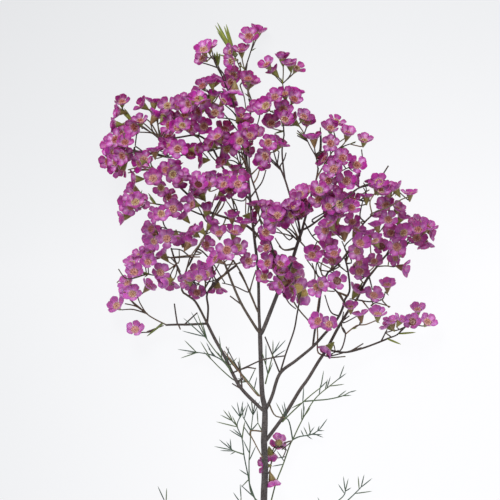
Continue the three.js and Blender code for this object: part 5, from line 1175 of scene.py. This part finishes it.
# %% The piece of all thin wood
BARE_RISE = 1.5  # millimetres that a bare twig rises from point to point
BARE_GIRTHS = (0.68, 0.46)  # at its root and at its end
NEAR_ENOUGH = 1.5  # millimetres from the wood within which a twig's first point is its root

every_run = [run for _, _, run in LIMBS] + [twig for _, twigs, _ in SPRAYS for twig in twigs]
for bare in BARE_TWIGS + CROSSING_TWIGS:
    first = place((*bare[0][:2], 0))
    far, foot = foot_on(every_run, first[0], first[1])
    points = [foot]
    for point in bare[1 if far < NEAR_ENOUGH ** 2 else 0:]:
        height = point[2] if len(point) == 3 else points[-1][2] + BARE_RISE
        points.append(place((point[0], point[1], height)))
    twig_list.append((points, np.linspace(*BARE_GIRTHS, len(points)), next(throw_tone)))
twigs_piece = grown("twigs_and_stalks", run_mesh("twigs", twig_list), tube,
                    {"Point spacing": 2.2 * MM, "Sides": 6, "Swelling": 0.2,
                     "Swelling length": 5 * MM}, bark)

# %% [markdown]
# ## Needle leaves
#
# The leaves are slim needles, grey-green low on the stem and fresher on the sprays. Each is
# drawn as a run of five points that bends a little up, with the girth of a needle, so the
# same tree makes them.

# %% Material: needle leaf
def needle_leaf():
    """A tough little leaf with a dull skin, and with oil spots that show as a fine mottle."""
    material, tree, where, (tone,) = new_material("needle_leaf", "tone")
    green = add(tree, "ShaderNodeValToRGB", {"Fac": tone},
                stops=((0.0, "#44524a"), (0.35, "#566c5c"), (0.7, "#78863e"), (1.0, "#a2ac3e")))
    green, spots = mottled(tree, where, green, 1.5, "#c8c8c8", (0.3, 0.7), 0.6)
    close_material(tree, {"Base Color": green, "Roughness": 0.5}, spots, 0.3, 0.08)
    return material


leaf = needle_leaf()
print("made", leaf.name)

# %% How a leaf runs
NEEDLE_SHARES = (0, 0.25, 0.55, 0.85, 1)
NEEDLE_GIRTHS = (0.3, 0.46, 0.44, 0.3, 0.06)
NEEDLE_ARCH = 0.06  # height of the arch, as a share of the needle's length
NEEDLE_RISE = 8  # millimetres between the lowest and the highest tip of a twig's needles
NEEDLE_UP = 0.6  # share of that above the twig
NEEDLE_LOWEST = 0.7  # height of a tip that lies on the table
TONE_SPAN = 0.4  # by which leaves differ


def needle_run(foot, tip, girth, tone):
    """A slim leaf from foot to tip that arches a little. Its tone is near the given one."""
    run = tip - foot
    arch = NEEDLE_ARCH * length_of(run)
    points = [foot + run * share + np.array([0, 0, arch * 4 * share * (1 - share)])
              for share in NEEDLE_SHARES]
    return (points, np.array(NEEDLE_GIRTHS) * girth,
            min(1, max(0, tone + TONE_SPAN * (next(throw_tone) - 0.5))))


def needle_runs(name, twigs, needles, girth, tone):
    """The needles of one spray or shoot. The dice are those of its solid."""
    throw = dice(SEED + len(name))
    runs = []
    for x0, y0, x1, y1 in needles:
        root = place((x0, y0, 0))
        tip = place((x1, y1, 0))
        _, foot = foot_on(twigs, root[0], root[1])
        tip[2] = max(NEEDLE_LOWEST, foot[2] + NEEDLE_RISE * (next(throw) - 1 + NEEDLE_UP))
        runs.append(needle_run(foot, tip, girth, tone))
    return runs


print("widest part of a needle:", 2 * max(NEEDLE_GIRTHS), "mm")

# %% Needles of the leafy shoots and of the sprays
SHOOT_GIRTHS = (0.62, 0.4)  # of a shoot's twig, at its root and at its end
SHOOT_TONE = 0.35
SPRAY_TONE = 0.85
SPRAY_LEAF = 1.7  # girth of a leaf on a spray, in times a needle's

leaf_list = []
for name, twigs, needles in SHOOTS:
    for points in runs_of(twigs):
        leaf_list.append((points, np.linspace(*SHOOT_GIRTHS, len(points)),
                          0.25 + 0.3 * next(throw_tone)))
    leaf_list += needle_runs(name, twigs, needles, 1, SHOOT_TONE)
for name, twigs, _ in SPRAYS:
    leaf_list += needle_runs(name, twigs, SPRAY_NEEDLES.get(name, []), SPRAY_LEAF, SPRAY_TONE)
print("needles and green twigs:", len(leaf_list))

# %% Broad leaves at the highest tips: foot and tip in squares of the sheet
TIP_LEAVES = [
    (232, 46, 217, 21), (231, 45, 215, 24), (231, 43, 219, 27), (232, 44, 224, 25),
    (231, 46, 226, 23), (230, 45, 222, 30), (222, 64, 214, 53), (222, 64, 217, 52),
    (222, 64, 220, 54), (136, 116, 119, 107), (136, 116, 121, 111), (136, 116, 124, 108),
]
TIP_GIRTH = 2.2  # in times a needle's
TIP_TONE = 0.9


def tip_leaf_run(x0, y0, x1, y1):
    foot = foot_on(every_run, *place((x0, y0, 0))[:2])[1]
    tip = place((x1, y1, foot[2] + NEEDLE_RISE * (next(throw_tone) - 0.5)))
    return needle_run(foot, tip, TIP_GIRTH, TIP_TONE)


leaf_list += [tip_leaf_run(*leaf_line) for leaf_line in TIP_LEAVES]
print("leaves at the tips:", len(TIP_LEAVES))

# %% Small leaves at the roots of the stalks
BRACT_SHARE = 0.45  # of the stalks have one
BRACT_LENGTH = 6.0
BRACT_LEAST = 0.75  # share of that which the shortest has
BRACT_SPAN = 0.5  # by which they differ
BRACT_AHEAD = 0.85  # how far one points along its stalk
BRACT_ASIDE = 0.5  # and away from it
BRACT_GIRTH = 1.1  # in times a needle's
BRACT_TONE = 0.8


def bract_run(flower, around, longer):
    """The small leaf in whose corner a flower stalk grows."""
    ahead = foot_of(flower) - flower["root"]
    ahead /= length_of(ahead)
    aside = turned(any_across(ahead), ahead, 360 * around)
    reach = BRACT_LENGTH * (BRACT_LEAST + BRACT_SPAN * longer)
    tip = flower["root"] + (ahead * BRACT_AHEAD + aside * BRACT_ASIDE) * reach
    return needle_run(flower["root"], tip, BRACT_GIRTH, BRACT_TONE)


throw_bract = dice(505)
for flower in flowers:
    picked, around, longer = next(throw_bract), next(throw_bract), next(throw_bract)
    if picked < BRACT_SHARE:
        leaf_list.append(bract_run(flower, around, longer))
leaves = grown("needle_leaves", run_mesh("needles", leaf_list), tube,
               {"Point spacing": 2.2 * MM, "Sides": 6, "Swelling": 0.1,
                "Swelling length": 6 * MM}, leaf)

# %% [markdown]
# ## What every flower carries
#
# All flowers have the same parts: a cone-shaped calyx, five petals, ten stamens and a waxy
# disc. They differ in where they stand, which way they face, how wide they are open and how
# old they are. So each flower is one point that carries these as attributes, and one geometry
# tree sets a ring of parts round every point. The same tree sets five petals, ten stamens, or
# one calyx, by its named inputs. The flowers low down and at the outside of the branch also
# carry painted light: a paler tint, as if more light shone through their petals and discs.

# %% One point for each flower
YELLOW_CALYX = {(290, 291), (303, 298), (300, 285), (295, 279), (296, 277)}
SWOLLEN = 1.25  # size of a flower with a yellow calyx
OLD_FLOWERS = {(170, 287), (337, 280), (413, 321), (297, 264)}
PAINTED_LIGHT_FROM = 165  # square of the sheet below which flowers get painted light
PAINTED_LIGHT_OVER = 120  # squares further down at which the painted light is strongest
STEM_SQUARE = 262  # square that the main stem runs along
OUTSIDE = 100  # squares from it to the outside of the branch
PAINTED_LIGHT_INSIDE = 0.2  # share of the painted light that flowers beside the main stem have


def painted_light_of(x, y):
    """Painted light: 0 for none, up to 1 for a flower low down at the outside of the branch."""
    outside = min(1, abs(x - STEM_SQUARE) / OUTSIDE)
    low = min(1, max(0, (y - PAINTED_LIGHT_FROM) / PAINTED_LIGHT_OVER))
    return low * (PAINTED_LIGHT_INSIDE + (1 - PAINTED_LIGHT_INSIDE) * outside)


throw_age = dice(1203)
carried = []
for flower in flowers:
    age, tone = next(throw_age), next(throw_age)
    yellow = flower["sheet"] in YELLOW_CALYX
    carried.append({
        "facing": axis_of(flower),
        "side": side_of(flower),
        "size": flower["size"] * (SWOLLEN if yellow else 1),
        "opening": math.radians(opening_of(flower)),
        "age": 1.0 if flower["sheet"] in OLD_FLOWERS else age,
        "tone": tone,
        "yellow": float(yellow),
        # painted light: a paler tint low down and at the outside of the branch
        "faded": painted_light_of(*flower["sheet"])})
flower_points = mesh_of("flower_points", [flower["at"] for flower in flowers])
for name in carried[0]:
    set_attribute(flower_points, name, [values[name] for values in carried])
print("points:", len(flower_points.vertices), "each with", ", ".join(carried[0]))


# %% Tree: a ring of parts round every flower
def ring_tree():
    tree, given = new_tree("ring_of_parts", [
        ("Part", "NodeSocketObject", None),
        ("Count", "NodeSocketInt", 5),
        ("First angle", "NodeSocketFloat", 0.0),
        ("Ring radius", "NodeSocketFloat", 0.0),
        ("Height", "NodeSocketFloat", 0.0),
        ("Follow opening", "NodeSocketFloat", 0.0),
        ("Own lean", "NodeSocketFloat", 0.0),
        ("Unevenness", "NodeSocketFloat", 0.0),
        ("Seed", "NodeSocketInt", 3)])

    # what a point carries, and four throws of the dice for each part
    point = {name: add(tree, "GeometryNodeInputNamedAttribute", {"Name": name}, "Attribute",
                       data_type=kind)
             for name, kind in (("number", "FLOAT"), ("size", "FLOAT"), ("opening", "FLOAT"),
                                ("facing", "FLOAT_VECTOR"), ("side", "FLOAT_VECTOR"))}
    throws = []
    for number, (low, high) in enumerate(((-1.0, 1.0), (-1.0, 1.0), (-0.6, 0.4), (0.0, 1.0)), 1):
        seed = add(tree, "ShaderNodeMath", (given["Seed"], number), operation="ADD")
        throws.append(add(tree, "FunctionNodeRandomValue", {2: low, 3: high, "Seed": seed}, 1,
                          data_type="FLOAT"))
    turn_off, lean_off, size_off = (
        add(tree, "ShaderNodeMath", (throw, given["Unevenness"]), operation="MULTIPLY")
        for throw in throws[:3])

    # as many copies of each point as the ring has parts
    points = add(tree, "GeometryNodeMeshToPoints", {"Mesh": given["Geometry"]})
    copies = add(tree, "GeometryNodeDuplicateElements",
                 {"Geometry": points, "Amount": given["Count"]}, domain="POINT")
    kept = add(tree, "GeometryNodeStoreNamedAttribute",
               {"Geometry": copies, "Name": "number",
                "Value": copies.node.outputs["Duplicate Index"]})

    # turned about the flower's axis to the part's place in the ring
    step = add(tree, "ShaderNodeMath", (2 * math.pi, given["Count"]), operation="DIVIDE")
    even = add(tree, "ShaderNodeMath", (point["number"], step, given["First angle"]),
               operation="MULTIPLY_ADD")
    angle = add(tree, "ShaderNodeMath", (even, turn_off), operation="ADD")
    upright = add(tree, "FunctionNodeAxesToRotation",
                  {"Primary Axis": point["facing"], "Secondary Axis": point["side"]},
                  primary_axis="Z", secondary_axis="X")
    about_axis = add(tree, "FunctionNodeAxisAngleToRotation", {"Axis": (0, 0, 1), "Angle": angle})
    around = add(tree, "FunctionNodeRotateRotation",
                 {"Rotation": upright, "Rotate By": about_axis}, rotation_space="LOCAL")

    # leaned outwards, by the flower's opening or by an angle of its own
    lean = add(tree, "ShaderNodeMath",
               (point["opening"], given["Follow opening"], given["Own lean"]),
               operation="MULTIPLY_ADD")
    uneven_lean = add(tree, "ShaderNodeMath", (lean, lean_off), operation="ADD")
    outwards = add(tree, "FunctionNodeAxisAngleToRotation",
                   {"Axis": (0, 1, 0), "Angle": uneven_lean})
    leaned = add(tree, "FunctionNodeRotateRotation",
                 {"Rotation": around, "Rotate By": outwards}, rotation_space="LOCAL")

    # moved out from the axis, and sized with the flower
    out = add(tree, "ShaderNodeMath", (given["Ring radius"], point["size"]), operation="MULTIPLY")
    up = add(tree, "ShaderNodeMath", (given["Height"], point["size"]), operation="MULTIPLY")
    offset = add(tree, "ShaderNodeCombineXYZ", {"X": out, "Z": up})
    moved = add(tree, "FunctionNodeRotateVector", {"Vector": offset, "Rotation": around})
    placed = add(tree, "GeometryNodeSetPosition", {"Geometry": kept, "Offset": moved})
    growth = add(tree, "ShaderNodeMath", (1.0, size_off), operation="ADD")
    scale = add(tree, "ShaderNodeMath", (point["size"], growth), operation="MULTIPLY")
    part = add(tree, "GeometryNodeObjectInfo", {"Object": given["Part"]}, "Geometry")
    rings = add(tree, "GeometryNodeInstanceOnPoints",
                {"Points": placed, "Instance": part, "Rotation": leaned, "Scale": scale})
    own = add(tree, "GeometryNodeStoreNamedAttribute",
              {"Geometry": rings, "Name": "own", "Value": throws[3]}, domain="INSTANCE")
    close_tree(tree, given, own)
    return tree


ring = ring_tree()
print("inputs:", [item.name for item in ring.interface.items_tree if item.in_out == "INPUT"])


# %% A part is a small mesh that the tree copies
def flower_part(name, mesh, sizes, material):
    """A ring of parts round every flower. The part that the tree copies is removed."""
    part = bpy.data.objects.new(mesh.name, mesh)
    bpy.context.scene.collection.objects.link(part)
    piece = grown(name, flower_points.copy(), ring, {"Part": part, **sizes}, material)
    bpy.data.objects.remove(part)
    return piece


def turned_shape(name, profile, sides):
    """A closed shape turned about Z from (radius, height) pairs. It starts and ends at 0."""
    points, faces = [(0, 0, profile[0][1])], []
    for radius, height in profile[1:-1]:
        for i in range(sides):
            angle = 2 * math.pi * i / sides
            points.append((radius * math.cos(angle), radius * math.sin(angle), height))
    points.append((0, 0, profile[-1][1]))
    rows = len(profile) - 2
    for i in range(sides):
        j = (i + 1) % sides
        faces.append((0, 1 + j, 1 + i))
        for row in range(rows - 1):
            low, high = 1 + row * sides, 1 + (row + 1) * sides
            faces.append((low + i, low + j, high + j, high + i))
        last = 1 + (rows - 1) * sides
        faces.append((last + i, last + j, len(points) - 1))
    return mesh_of(name, points, faces=faces)


print("ready to set parts")

# %% [markdown]
# ## Petals
#
# The five petals are round, waxy and dished like small spoons, on a short claw, with small
# gaps between them. A petal is a grid bent by a formula and closed by an underside, a few
# dozen faces in all, because there are over a thousand of them. Its texture map runs along
# and across the petal, and the material uses it for the pale claw, the veins and a painted
# highlight in the middle of some petals.

# %% The petal's shape
# Each row is the share of the petal's length and half its width there in millimetres.
PETAL_OUTLINE = ((0.0, 1.6), (0.16, 2.4), (0.37, 3.2), (0.62, 3.55), (0.86, 2.95), (1.0, 1.6))
PETAL_COLUMNS = (-1.0, -0.55, 0.0, 0.55, 1.0)
PETAL_WIDEST = 3.55
PETAL_REACH = 1.04  # its length, as a share of its solid's
PETAL_ROUNDING = 0.75  # how far the corners of the tip are drawn back
PETAL_DISH = 1.15  # how far the edges stand above the middle
PETAL_CURL = 1.3  # how far the tip stands above the claw
PETAL_SKIN = 0.35  # thickness along the middle
EDGE_SKIN = 0.65  # share of it that is lost at the edges
TIP_SKIN = 0.4  # share of it that is left at the tip


def petal_point(along, half, over, under):
    """A point of the petal. Along runs from the claw to the tip, over from side to side."""
    x = PETAL_LENGTH * PETAL_REACH * along - PETAL_ROUNDING * over * over * along ** 3
    y = half * over
    wide = half / PETAL_WIDEST
    z = PETAL_DISH * (over * wide) ** 2 + PETAL_CURL * along ** 2.2
    skin = PETAL_SKIN * (1 - EDGE_SKIN * over * over) * (1 if along < 1 else TIP_SKIN)
    return x, y, z - (skin if under else 0)


def petal_mesh():
    rows, columns = len(PETAL_OUTLINE), len(PETAL_COLUMNS)
    points = [petal_point(along, half, over, under) for under in (False, True)
              for along, half in PETAL_OUTLINE for over in PETAL_COLUMNS]
    size = rows * columns
    faces = []
    for row in range(rows - 1):
        for column in range(columns - 1):
            a = row * columns + column
            quad = (a, a + columns, a + columns + 1, a + 1)
            faces += [quad, tuple(size + i for i in reversed(quad))]
    edge = (list(range(columns))
            + [r * columns + columns - 1 for r in range(1, rows)]
            + [(rows - 1) * columns + c for c in range(columns - 2, -1, -1)]
            + [r * columns for r in range(rows - 2, 0, -1)])
    for a, b in zip(edge, edge[1:] + edge[:1]):
        faces.append((a, b, size + b, size + a))
    mesh = mesh_of("petal", points, faces=faces)
    chart = mesh.uv_layers.new(name="petal_map")
    spots = [((over + 1) / 2, along) for along, _ in PETAL_OUTLINE for over in PETAL_COLUMNS] * 2
    for corner in mesh.loops:
        chart.data[corner.index].uv = spots[corner.vertex_index]
    return mesh


petal = petal_mesh()
print("petal faces:", len(petal.polygons))

# %% Material: waxy petal
def waxy_petal():
    """Thin waxy tissue: dull colour below a soft sheen, with a painted highlight in the middle of
    some petals, paler at the claw, finely veined.
    """
    material, tree, where, (tone, own, faded) = new_material("waxy_petal", "tone", "own", "faded")
    chart = add(tree, "ShaderNodeUVMap", output="UV", uv_map="petal_map")
    over = add(tree, "ShaderNodeSeparateXYZ", {"Vector": chart}, "X")
    along = over.node.outputs["Y"]
    body = add(tree, "ShaderNodeValToRGB", {"Fac": tone},
               stops=((0.0, "#84086a"), (0.5, "#b01290"), (1.0, "#cc2cb0")))

    # painted highlight in the hollow of the spoon: 1 in the middle of the petal and 0 at its
    # edges, strong on some petals only
    from_middle = add(tree, "ShaderNodeMath", (over, 0.5), operation="SUBTRACT")
    aside = add(tree, "ShaderNodeMath", (from_middle,), operation="ABSOLUTE")
    inside = add(tree, "ShaderNodeMath", (aside, -2.0, 1.0), operation="MULTIPLY_ADD")
    half_turn = add(tree, "ShaderNodeMath", (along, math.pi), operation="MULTIPLY")
    belly = add(tree, "ShaderNodeMath", (half_turn,), operation="SINE")
    inner = add(tree, "ShaderNodeMath", (inside, belly), operation="MULTIPLY",
                use_clamp=True)
    painted_highlight = add(tree, "ShaderNodeMath", (inner, 2.0), operation="POWER")
    painted_highlight_share = add(tree, "ShaderNodeMath", (own, 1.8, -0.4), operation="MULTIPLY_ADD",
                use_clamp=True)

    # the pale claw beside the disc, and veins that run from it to the tip
    past_claw = add(tree, "ShaderNodeMath", (along, 2.7), operation="MULTIPLY")
    claw = add(tree, "ShaderNodeMath", (1.0, past_claw), operation="SUBTRACT",
               use_clamp=True)
    paleness = add(tree, "ShaderNodeMath", (own, 0.5, 0.4), operation="MULTIPLY_ADD")
    drawn_out = add(tree, "ShaderNodeMath", (along, 0.15), operation="MULTIPLY")
    vein_place = add(tree, "ShaderNodeCombineXYZ", {"X": over, "Y": drawn_out})
    veins = add(tree, "ShaderNodeTexWave",
                {"Vector": vein_place, "Scale": 3.2, "Distortion": 1.2, "Detail": 1.0}, "Fac",
                wave_type="BANDS", bands_direction="X")

    # tints in turn: a lighter tone that differs at random from petal to petal, the near-white
    # painted highlight, the pale claw and the veins
    colour = body
    for factor, tint, strength in ((own, "#e468d8", 0.4), (painted_highlight, "#ffc4f8", painted_highlight_share),
                                   (claw, "#fad0e8", paleness), (veins, "#74125f", 0.25)):
        colour = tinted(tree, colour, factor, tint, strength)
    colour, _ = mottled(tree, where, colour, 4, "#aa98a6", (0.3, 0.6), 0.7)
    # painted light: a paler tint on flowers low down and at the outside of the branch, as if more
    # light shone through them
    colour = tinted(tree, colour, faded, "#ea98ee", 0.3)
    close_material(tree, {"Base Color": colour, "Roughness": 0.38, "IOR": 1.45,
                          "Subsurface Weight": 0.12, "Subsurface Scale": 0.004,
                          "Sheen Weight": 0.12, "Sheen Roughness": 0.4}, veins, 0.25, 0.08)
    return material


petal_skin = waxy_petal()
print("made", petal_skin.name)

# %% Five petals on every flower
petals = flower_part("petals", petal,
                     {"Count": 5, "First angle": math.radians(36),
                      "Ring radius": (CALYX_RIM - 0.15) * MM, "Follow opening": 1.0,
                      "Own lean": -math.radians(90), "Unevenness": 0.16, "Seed": 11},
                     petal_skin)

# %% [markdown]
# ## Calyx
#
# Below the petals each flower has a calyx: a deep waxy cup, olive green to brown, that grows
# out of the stalk and ends in a thin rim. It is a shape turned about the flower's axis, so a
# profile and the number of its sides are all that it needs.

# %% Material: waxy calyx
def waxy_calyx():
    """Thick waxy skin: a soft gloss, with small dark oil glands that make it look grained."""
    material, tree, where, (tone, yellow) = new_material("waxy_calyx", "tone", "yellow")
    green = add(tree, "ShaderNodeValToRGB", {"Fac": tone},
                stops=((0.0, "#86883e"), (0.5, "#9c9450"), (1.0, "#a07a58")))
    colour = tinted(tree, green, yellow, "#e4c870")
    colour, spots = mottled(tree, where, colour, 1.0, "#b8b4a8", (0.3, 0.7), 0.7)
    close_material(tree, {"Base Color": colour, "Roughness": 0.42, "IOR": 1.45},
                   spots, 0.4, 0.1)
    return material


calyx_skin = waxy_calyx()
print("made", calyx_skin.name)

# %% Calyx cups
CALYX_PROFILE = [(0, -CALYX_LENGTH - 1.4), (CALYX_FOOT, -CALYX_LENGTH - 1.2), (1.1, -5.2),
                 (1.8, -3.7), (2.4, -2.1), (CALYX_RIM + 0.2, -0.7), (CALYX_RIM, -0.2),
                 (0, -0.3)]
calyces = flower_part("calyx_cups", turned_shape("calyx", CALYX_PROFILE, 10),
                      {"Count": 1, "Seed": 21}, calyx_skin)

# %% [markdown]
# ## Disc, stamens and style
#
# In the middle of the flower lies a shallow waxy disc, wet with nectar, that is yellow-green
# when the flower opens, then peach, and dark red when it is old. Ten short stamens stand
# round it and bend inwards, and one style rises from its centre. The style is part of the
# disc's profile.

# %% Material: nectar disc
def nectar_disc():
    """Waxy tissue wet with nectar: glossier than the petals, darker round the style."""
    material, tree, where, (age, radial, faded) = new_material(
        "nectar_disc", "age", "radial", "faded")
    aged = add(tree, "ShaderNodeValToRGB", {"Fac": age},
               stops=((0.0, "#e0d494"), (0.25, "#ecbca4"), (0.6, "#e8a498"), (0.95, "#d88c88"),
                      (1.0, "#7a2c2c")))
    dish = add(tree, "ShaderNodeValToRGB", {"Fac": radial},
               stops=((0.0, "#e0bcae"), (0.3, "#b48074"), (0.6, "#d0a498"), (0.85, "#ffffff")))
    colour, spots = mottled(tree, where, aged, 0.9, "#8c5c50", (0.38, 0.55), 0.8)
    dished = add(tree, "ShaderNodeMix", {0: 0.85, 6: colour, 7: dish}, 2, data_type="RGBA",
                 blend_type="MULTIPLY")
    # painted light: a paler tint on flowers low down and at the outside of the branch, as if more
    # light shone through them
    colour = tinted(tree, dished, faded, "#f4c8b0", 0.3)
    close_material(tree, {"Base Color": colour, "Roughness": 0.3, "IOR": 1.4}, spots, 0.3, 0.08)
    return material


disc_skin = nectar_disc()
print("made", disc_skin.name)

# %% Discs with their styles
DISC_RADIUS = 3.3
DISC_PROFILE = [(0, -0.25), (3.1, -0.2), (DISC_RADIUS, 0.3), (2.7, 0.65), (1.7, 0.25),
                (0.8, 0.15), (0.3, 0.5), (0.25, 1.5), (0.45, 1.7), (0, 1.85)]
disc_mesh = turned_shape("disc", DISC_PROFILE, 10)
set_attribute(disc_mesh, "radial",
              [math.hypot(v.co.x, v.co.y) / (DISC_RADIUS * MM) for v in disc_mesh.vertices])
discs = flower_part("discs", disc_mesh, {"Count": 1, "Seed": 31}, disc_skin)


# %% Material: filament and pollen
def filament_and_pollen():
    """A stamen's filament, thin, pale and dull, with a dusty pollen sac at its tip."""
    material, tree, where, (height, age) = new_material("filament_and_pollen", "height", "age")
    tip = add(tree, "ShaderNodeMapRange", {"Value": height, "From Min": 0.6, "From Max": 0.8})
    filament = add(tree, "ShaderNodeValToRGB", {"Fac": age},
                   stops=((0.0, "#f8dcd8"), (0.95, "#f4c4d0"), (1.0, "#a04050")))
    pollen = add(tree, "ShaderNodeValToRGB", {"Fac": age},
                 stops=((0.0, "#f0e4b8"), (0.5, "#e8c4a8"), (0.95, "#c08c78"), (1.0, "#6a3a34")))
    colour = tinted(tree, filament, tip, pollen)
    colour, _ = mottled(tree, where, colour, 0.5, "#c0c0c0", (0.3, 0.7), 0.5)
    close_material(tree, {"Base Color": colour, "Roughness": 0.55})
    return material


stamen_skin = filament_and_pollen()
print("made", stamen_skin.name)

# %% Stamens
STAMEN_HEIGHT = 2.0
STAMEN_PROFILE = [(0, 0), (0.34, 0.05), (0.24, 1.2), (0.4, 1.65), (0, STAMEN_HEIGHT)]
stamen_mesh = turned_shape("stamen", STAMEN_PROFILE, 4)
set_attribute(stamen_mesh, "height",
              [v.co.z / (STAMEN_HEIGHT * MM) for v in stamen_mesh.vertices])
stamens = flower_part("stamens", stamen_mesh,
                      {"Count": 10, "Ring radius": 3.2 * MM, "Own lean": -math.radians(30),
                       "Unevenness": 0.2, "Seed": 41}, stamen_skin)

# %% [markdown]
# ## Table, light and camera
#
# The stem lies on a plain pale table of opal glass with some light under it, as such stems
# are often shown, so its thin twigs stand out and it has hardly any shadow. Soft studio light
# comes from all round, with more from the top left. The camera looks straight down through a
# long lens, from far away, so that nothing leans outwards.

# %% Table
TABLE_WIDTH = 6  # metres


def light_table():
    """Opal glass lit softly from below, a little more towards the lower right."""
    material, tree, where, _ = new_material("opal_light_table")
    x = add(tree, "ShaderNodeSeparateXYZ", {"Vector": where}, "X")
    right = add(tree, "ShaderNodeMapRange",
                {"Value": x, "From Min": -0.215, "From Max": 0.0, "To Max": 0.45})
    down = add(tree, "ShaderNodeMapRange",
               {"Value": x.node.outputs["Y"], "From Min": 0.27, "From Max": 0.05,
                "To Max": 0.55})
    share = add(tree, "ShaderNodeMath", (down, right), operation="ADD")
    glow = add(tree, "ShaderNodeValToRGB", {"Fac": share},
               stops=((0.0, "#dedfe1"), (0.5, "#e9eaec"), (1.0, "#f8f8fa")))
    close_material(tree, {"Base Color": "#3a3a3a", "Roughness": 0.9, "Emission Color": glow,
                          "Emission Strength": 1.0})
    return material


bpy.ops.mesh.primitive_plane_add(size=TABLE_WIDTH)
table = bpy.context.object
table.name = "table"
table.data.materials.append(light_table())
print("table:", TABLE_WIDTH, "m wide")

# %% Light
SKY_COLOUR = (0.93, 0.96, 1, 1)  # linear, a little cool
SKY_STRENGTH = 0.45

world = bpy.data.worlds.new("studio")
bpy.context.scene.world = world
world.use_nodes = True
sky = world.node_tree.nodes["Background"]
sky.inputs["Color"].default_value = SKY_COLOUR
sky.inputs["Strength"].default_value = SKY_STRENGTH


def soft_box(name, place_in_metres, size, watts):
    """A round soft light that looks at the middle of the table."""
    light = bpy.data.lights.new(name, "AREA")
    light.shape = "DISK"
    light.size = size
    light.energy = watts
    lamp = bpy.data.objects.new(name, light)
    bpy.context.scene.collection.objects.link(lamp)
    lamp.location = place_in_metres
    aim = -np.array(place_in_metres)
    lamp.rotation_euler = (math.atan2(math.hypot(aim[0], aim[1]), -aim[2]), 0,
                           math.atan2(-aim[0], aim[1]))
    print(name, watts, "W")


soft_box("key_light", (-0.5, 1.2, 1.4), 0.9, 20)
soft_box("fill_light", (1.4, -0.6, 1.4), 1.6, 5)
bpy.context.scene.view_settings.view_transform = "Standard"

# %% Camera
FRAME_WIDTH = 400  # millimetres of the table that the picture is wide
FRAME_CENTRE = place((250, 250, 45))
CAMERA_HEIGHT = 5.0  # metres
SENSOR_WIDTH = 36

camera_data = bpy.data.cameras.new("camera")
camera_data.sensor_width = SENSOR_WIDTH
camera_data.lens = SENSOR_WIDTH * (CAMERA_HEIGHT - FRAME_CENTRE[2] * MM) / (FRAME_WIDTH * MM)
camera_data.clip_end = 20
camera = bpy.data.objects.new("camera", camera_data)
bpy.context.scene.collection.objects.link(camera)
camera.location = (FRAME_CENTRE[0] * MM, FRAME_CENTRE[1] * MM, CAMERA_HEIGHT)
bpy.context.scene.camera = camera
print("lens:", round(camera_data.lens), "mm")

# %% [markdown]
# ## Which piece stands for which solid
#
# The fine stem stands for the stem's solid, the needle leaves for the shoots, and the flower
# parts together with the twigs for every spray. Nothing on a stem moves by itself, so all
# pieces ride on the one body.

# %% Pieces and their solids
spray_names = [name for name, _, _ in SPRAYS]
shoot_names = [name for name, _, _ in SHOOTS]
for piece, slot, solids in ((stem, "bark", ["woody_stem"]),
                            (twigs_piece, "bark", spray_names),
                            (leaves, "leaves", shoot_names),
                            (petals, "petals", spray_names),
                            (calyces, "petals", spray_names),
                            (discs, "petals", spray_names),
                            (stamens, "petals", spray_names)):
    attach(piece, "root")
    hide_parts(*solids)
print("solids replaced:", 1 + len(spray_names) + len(shoot_names))
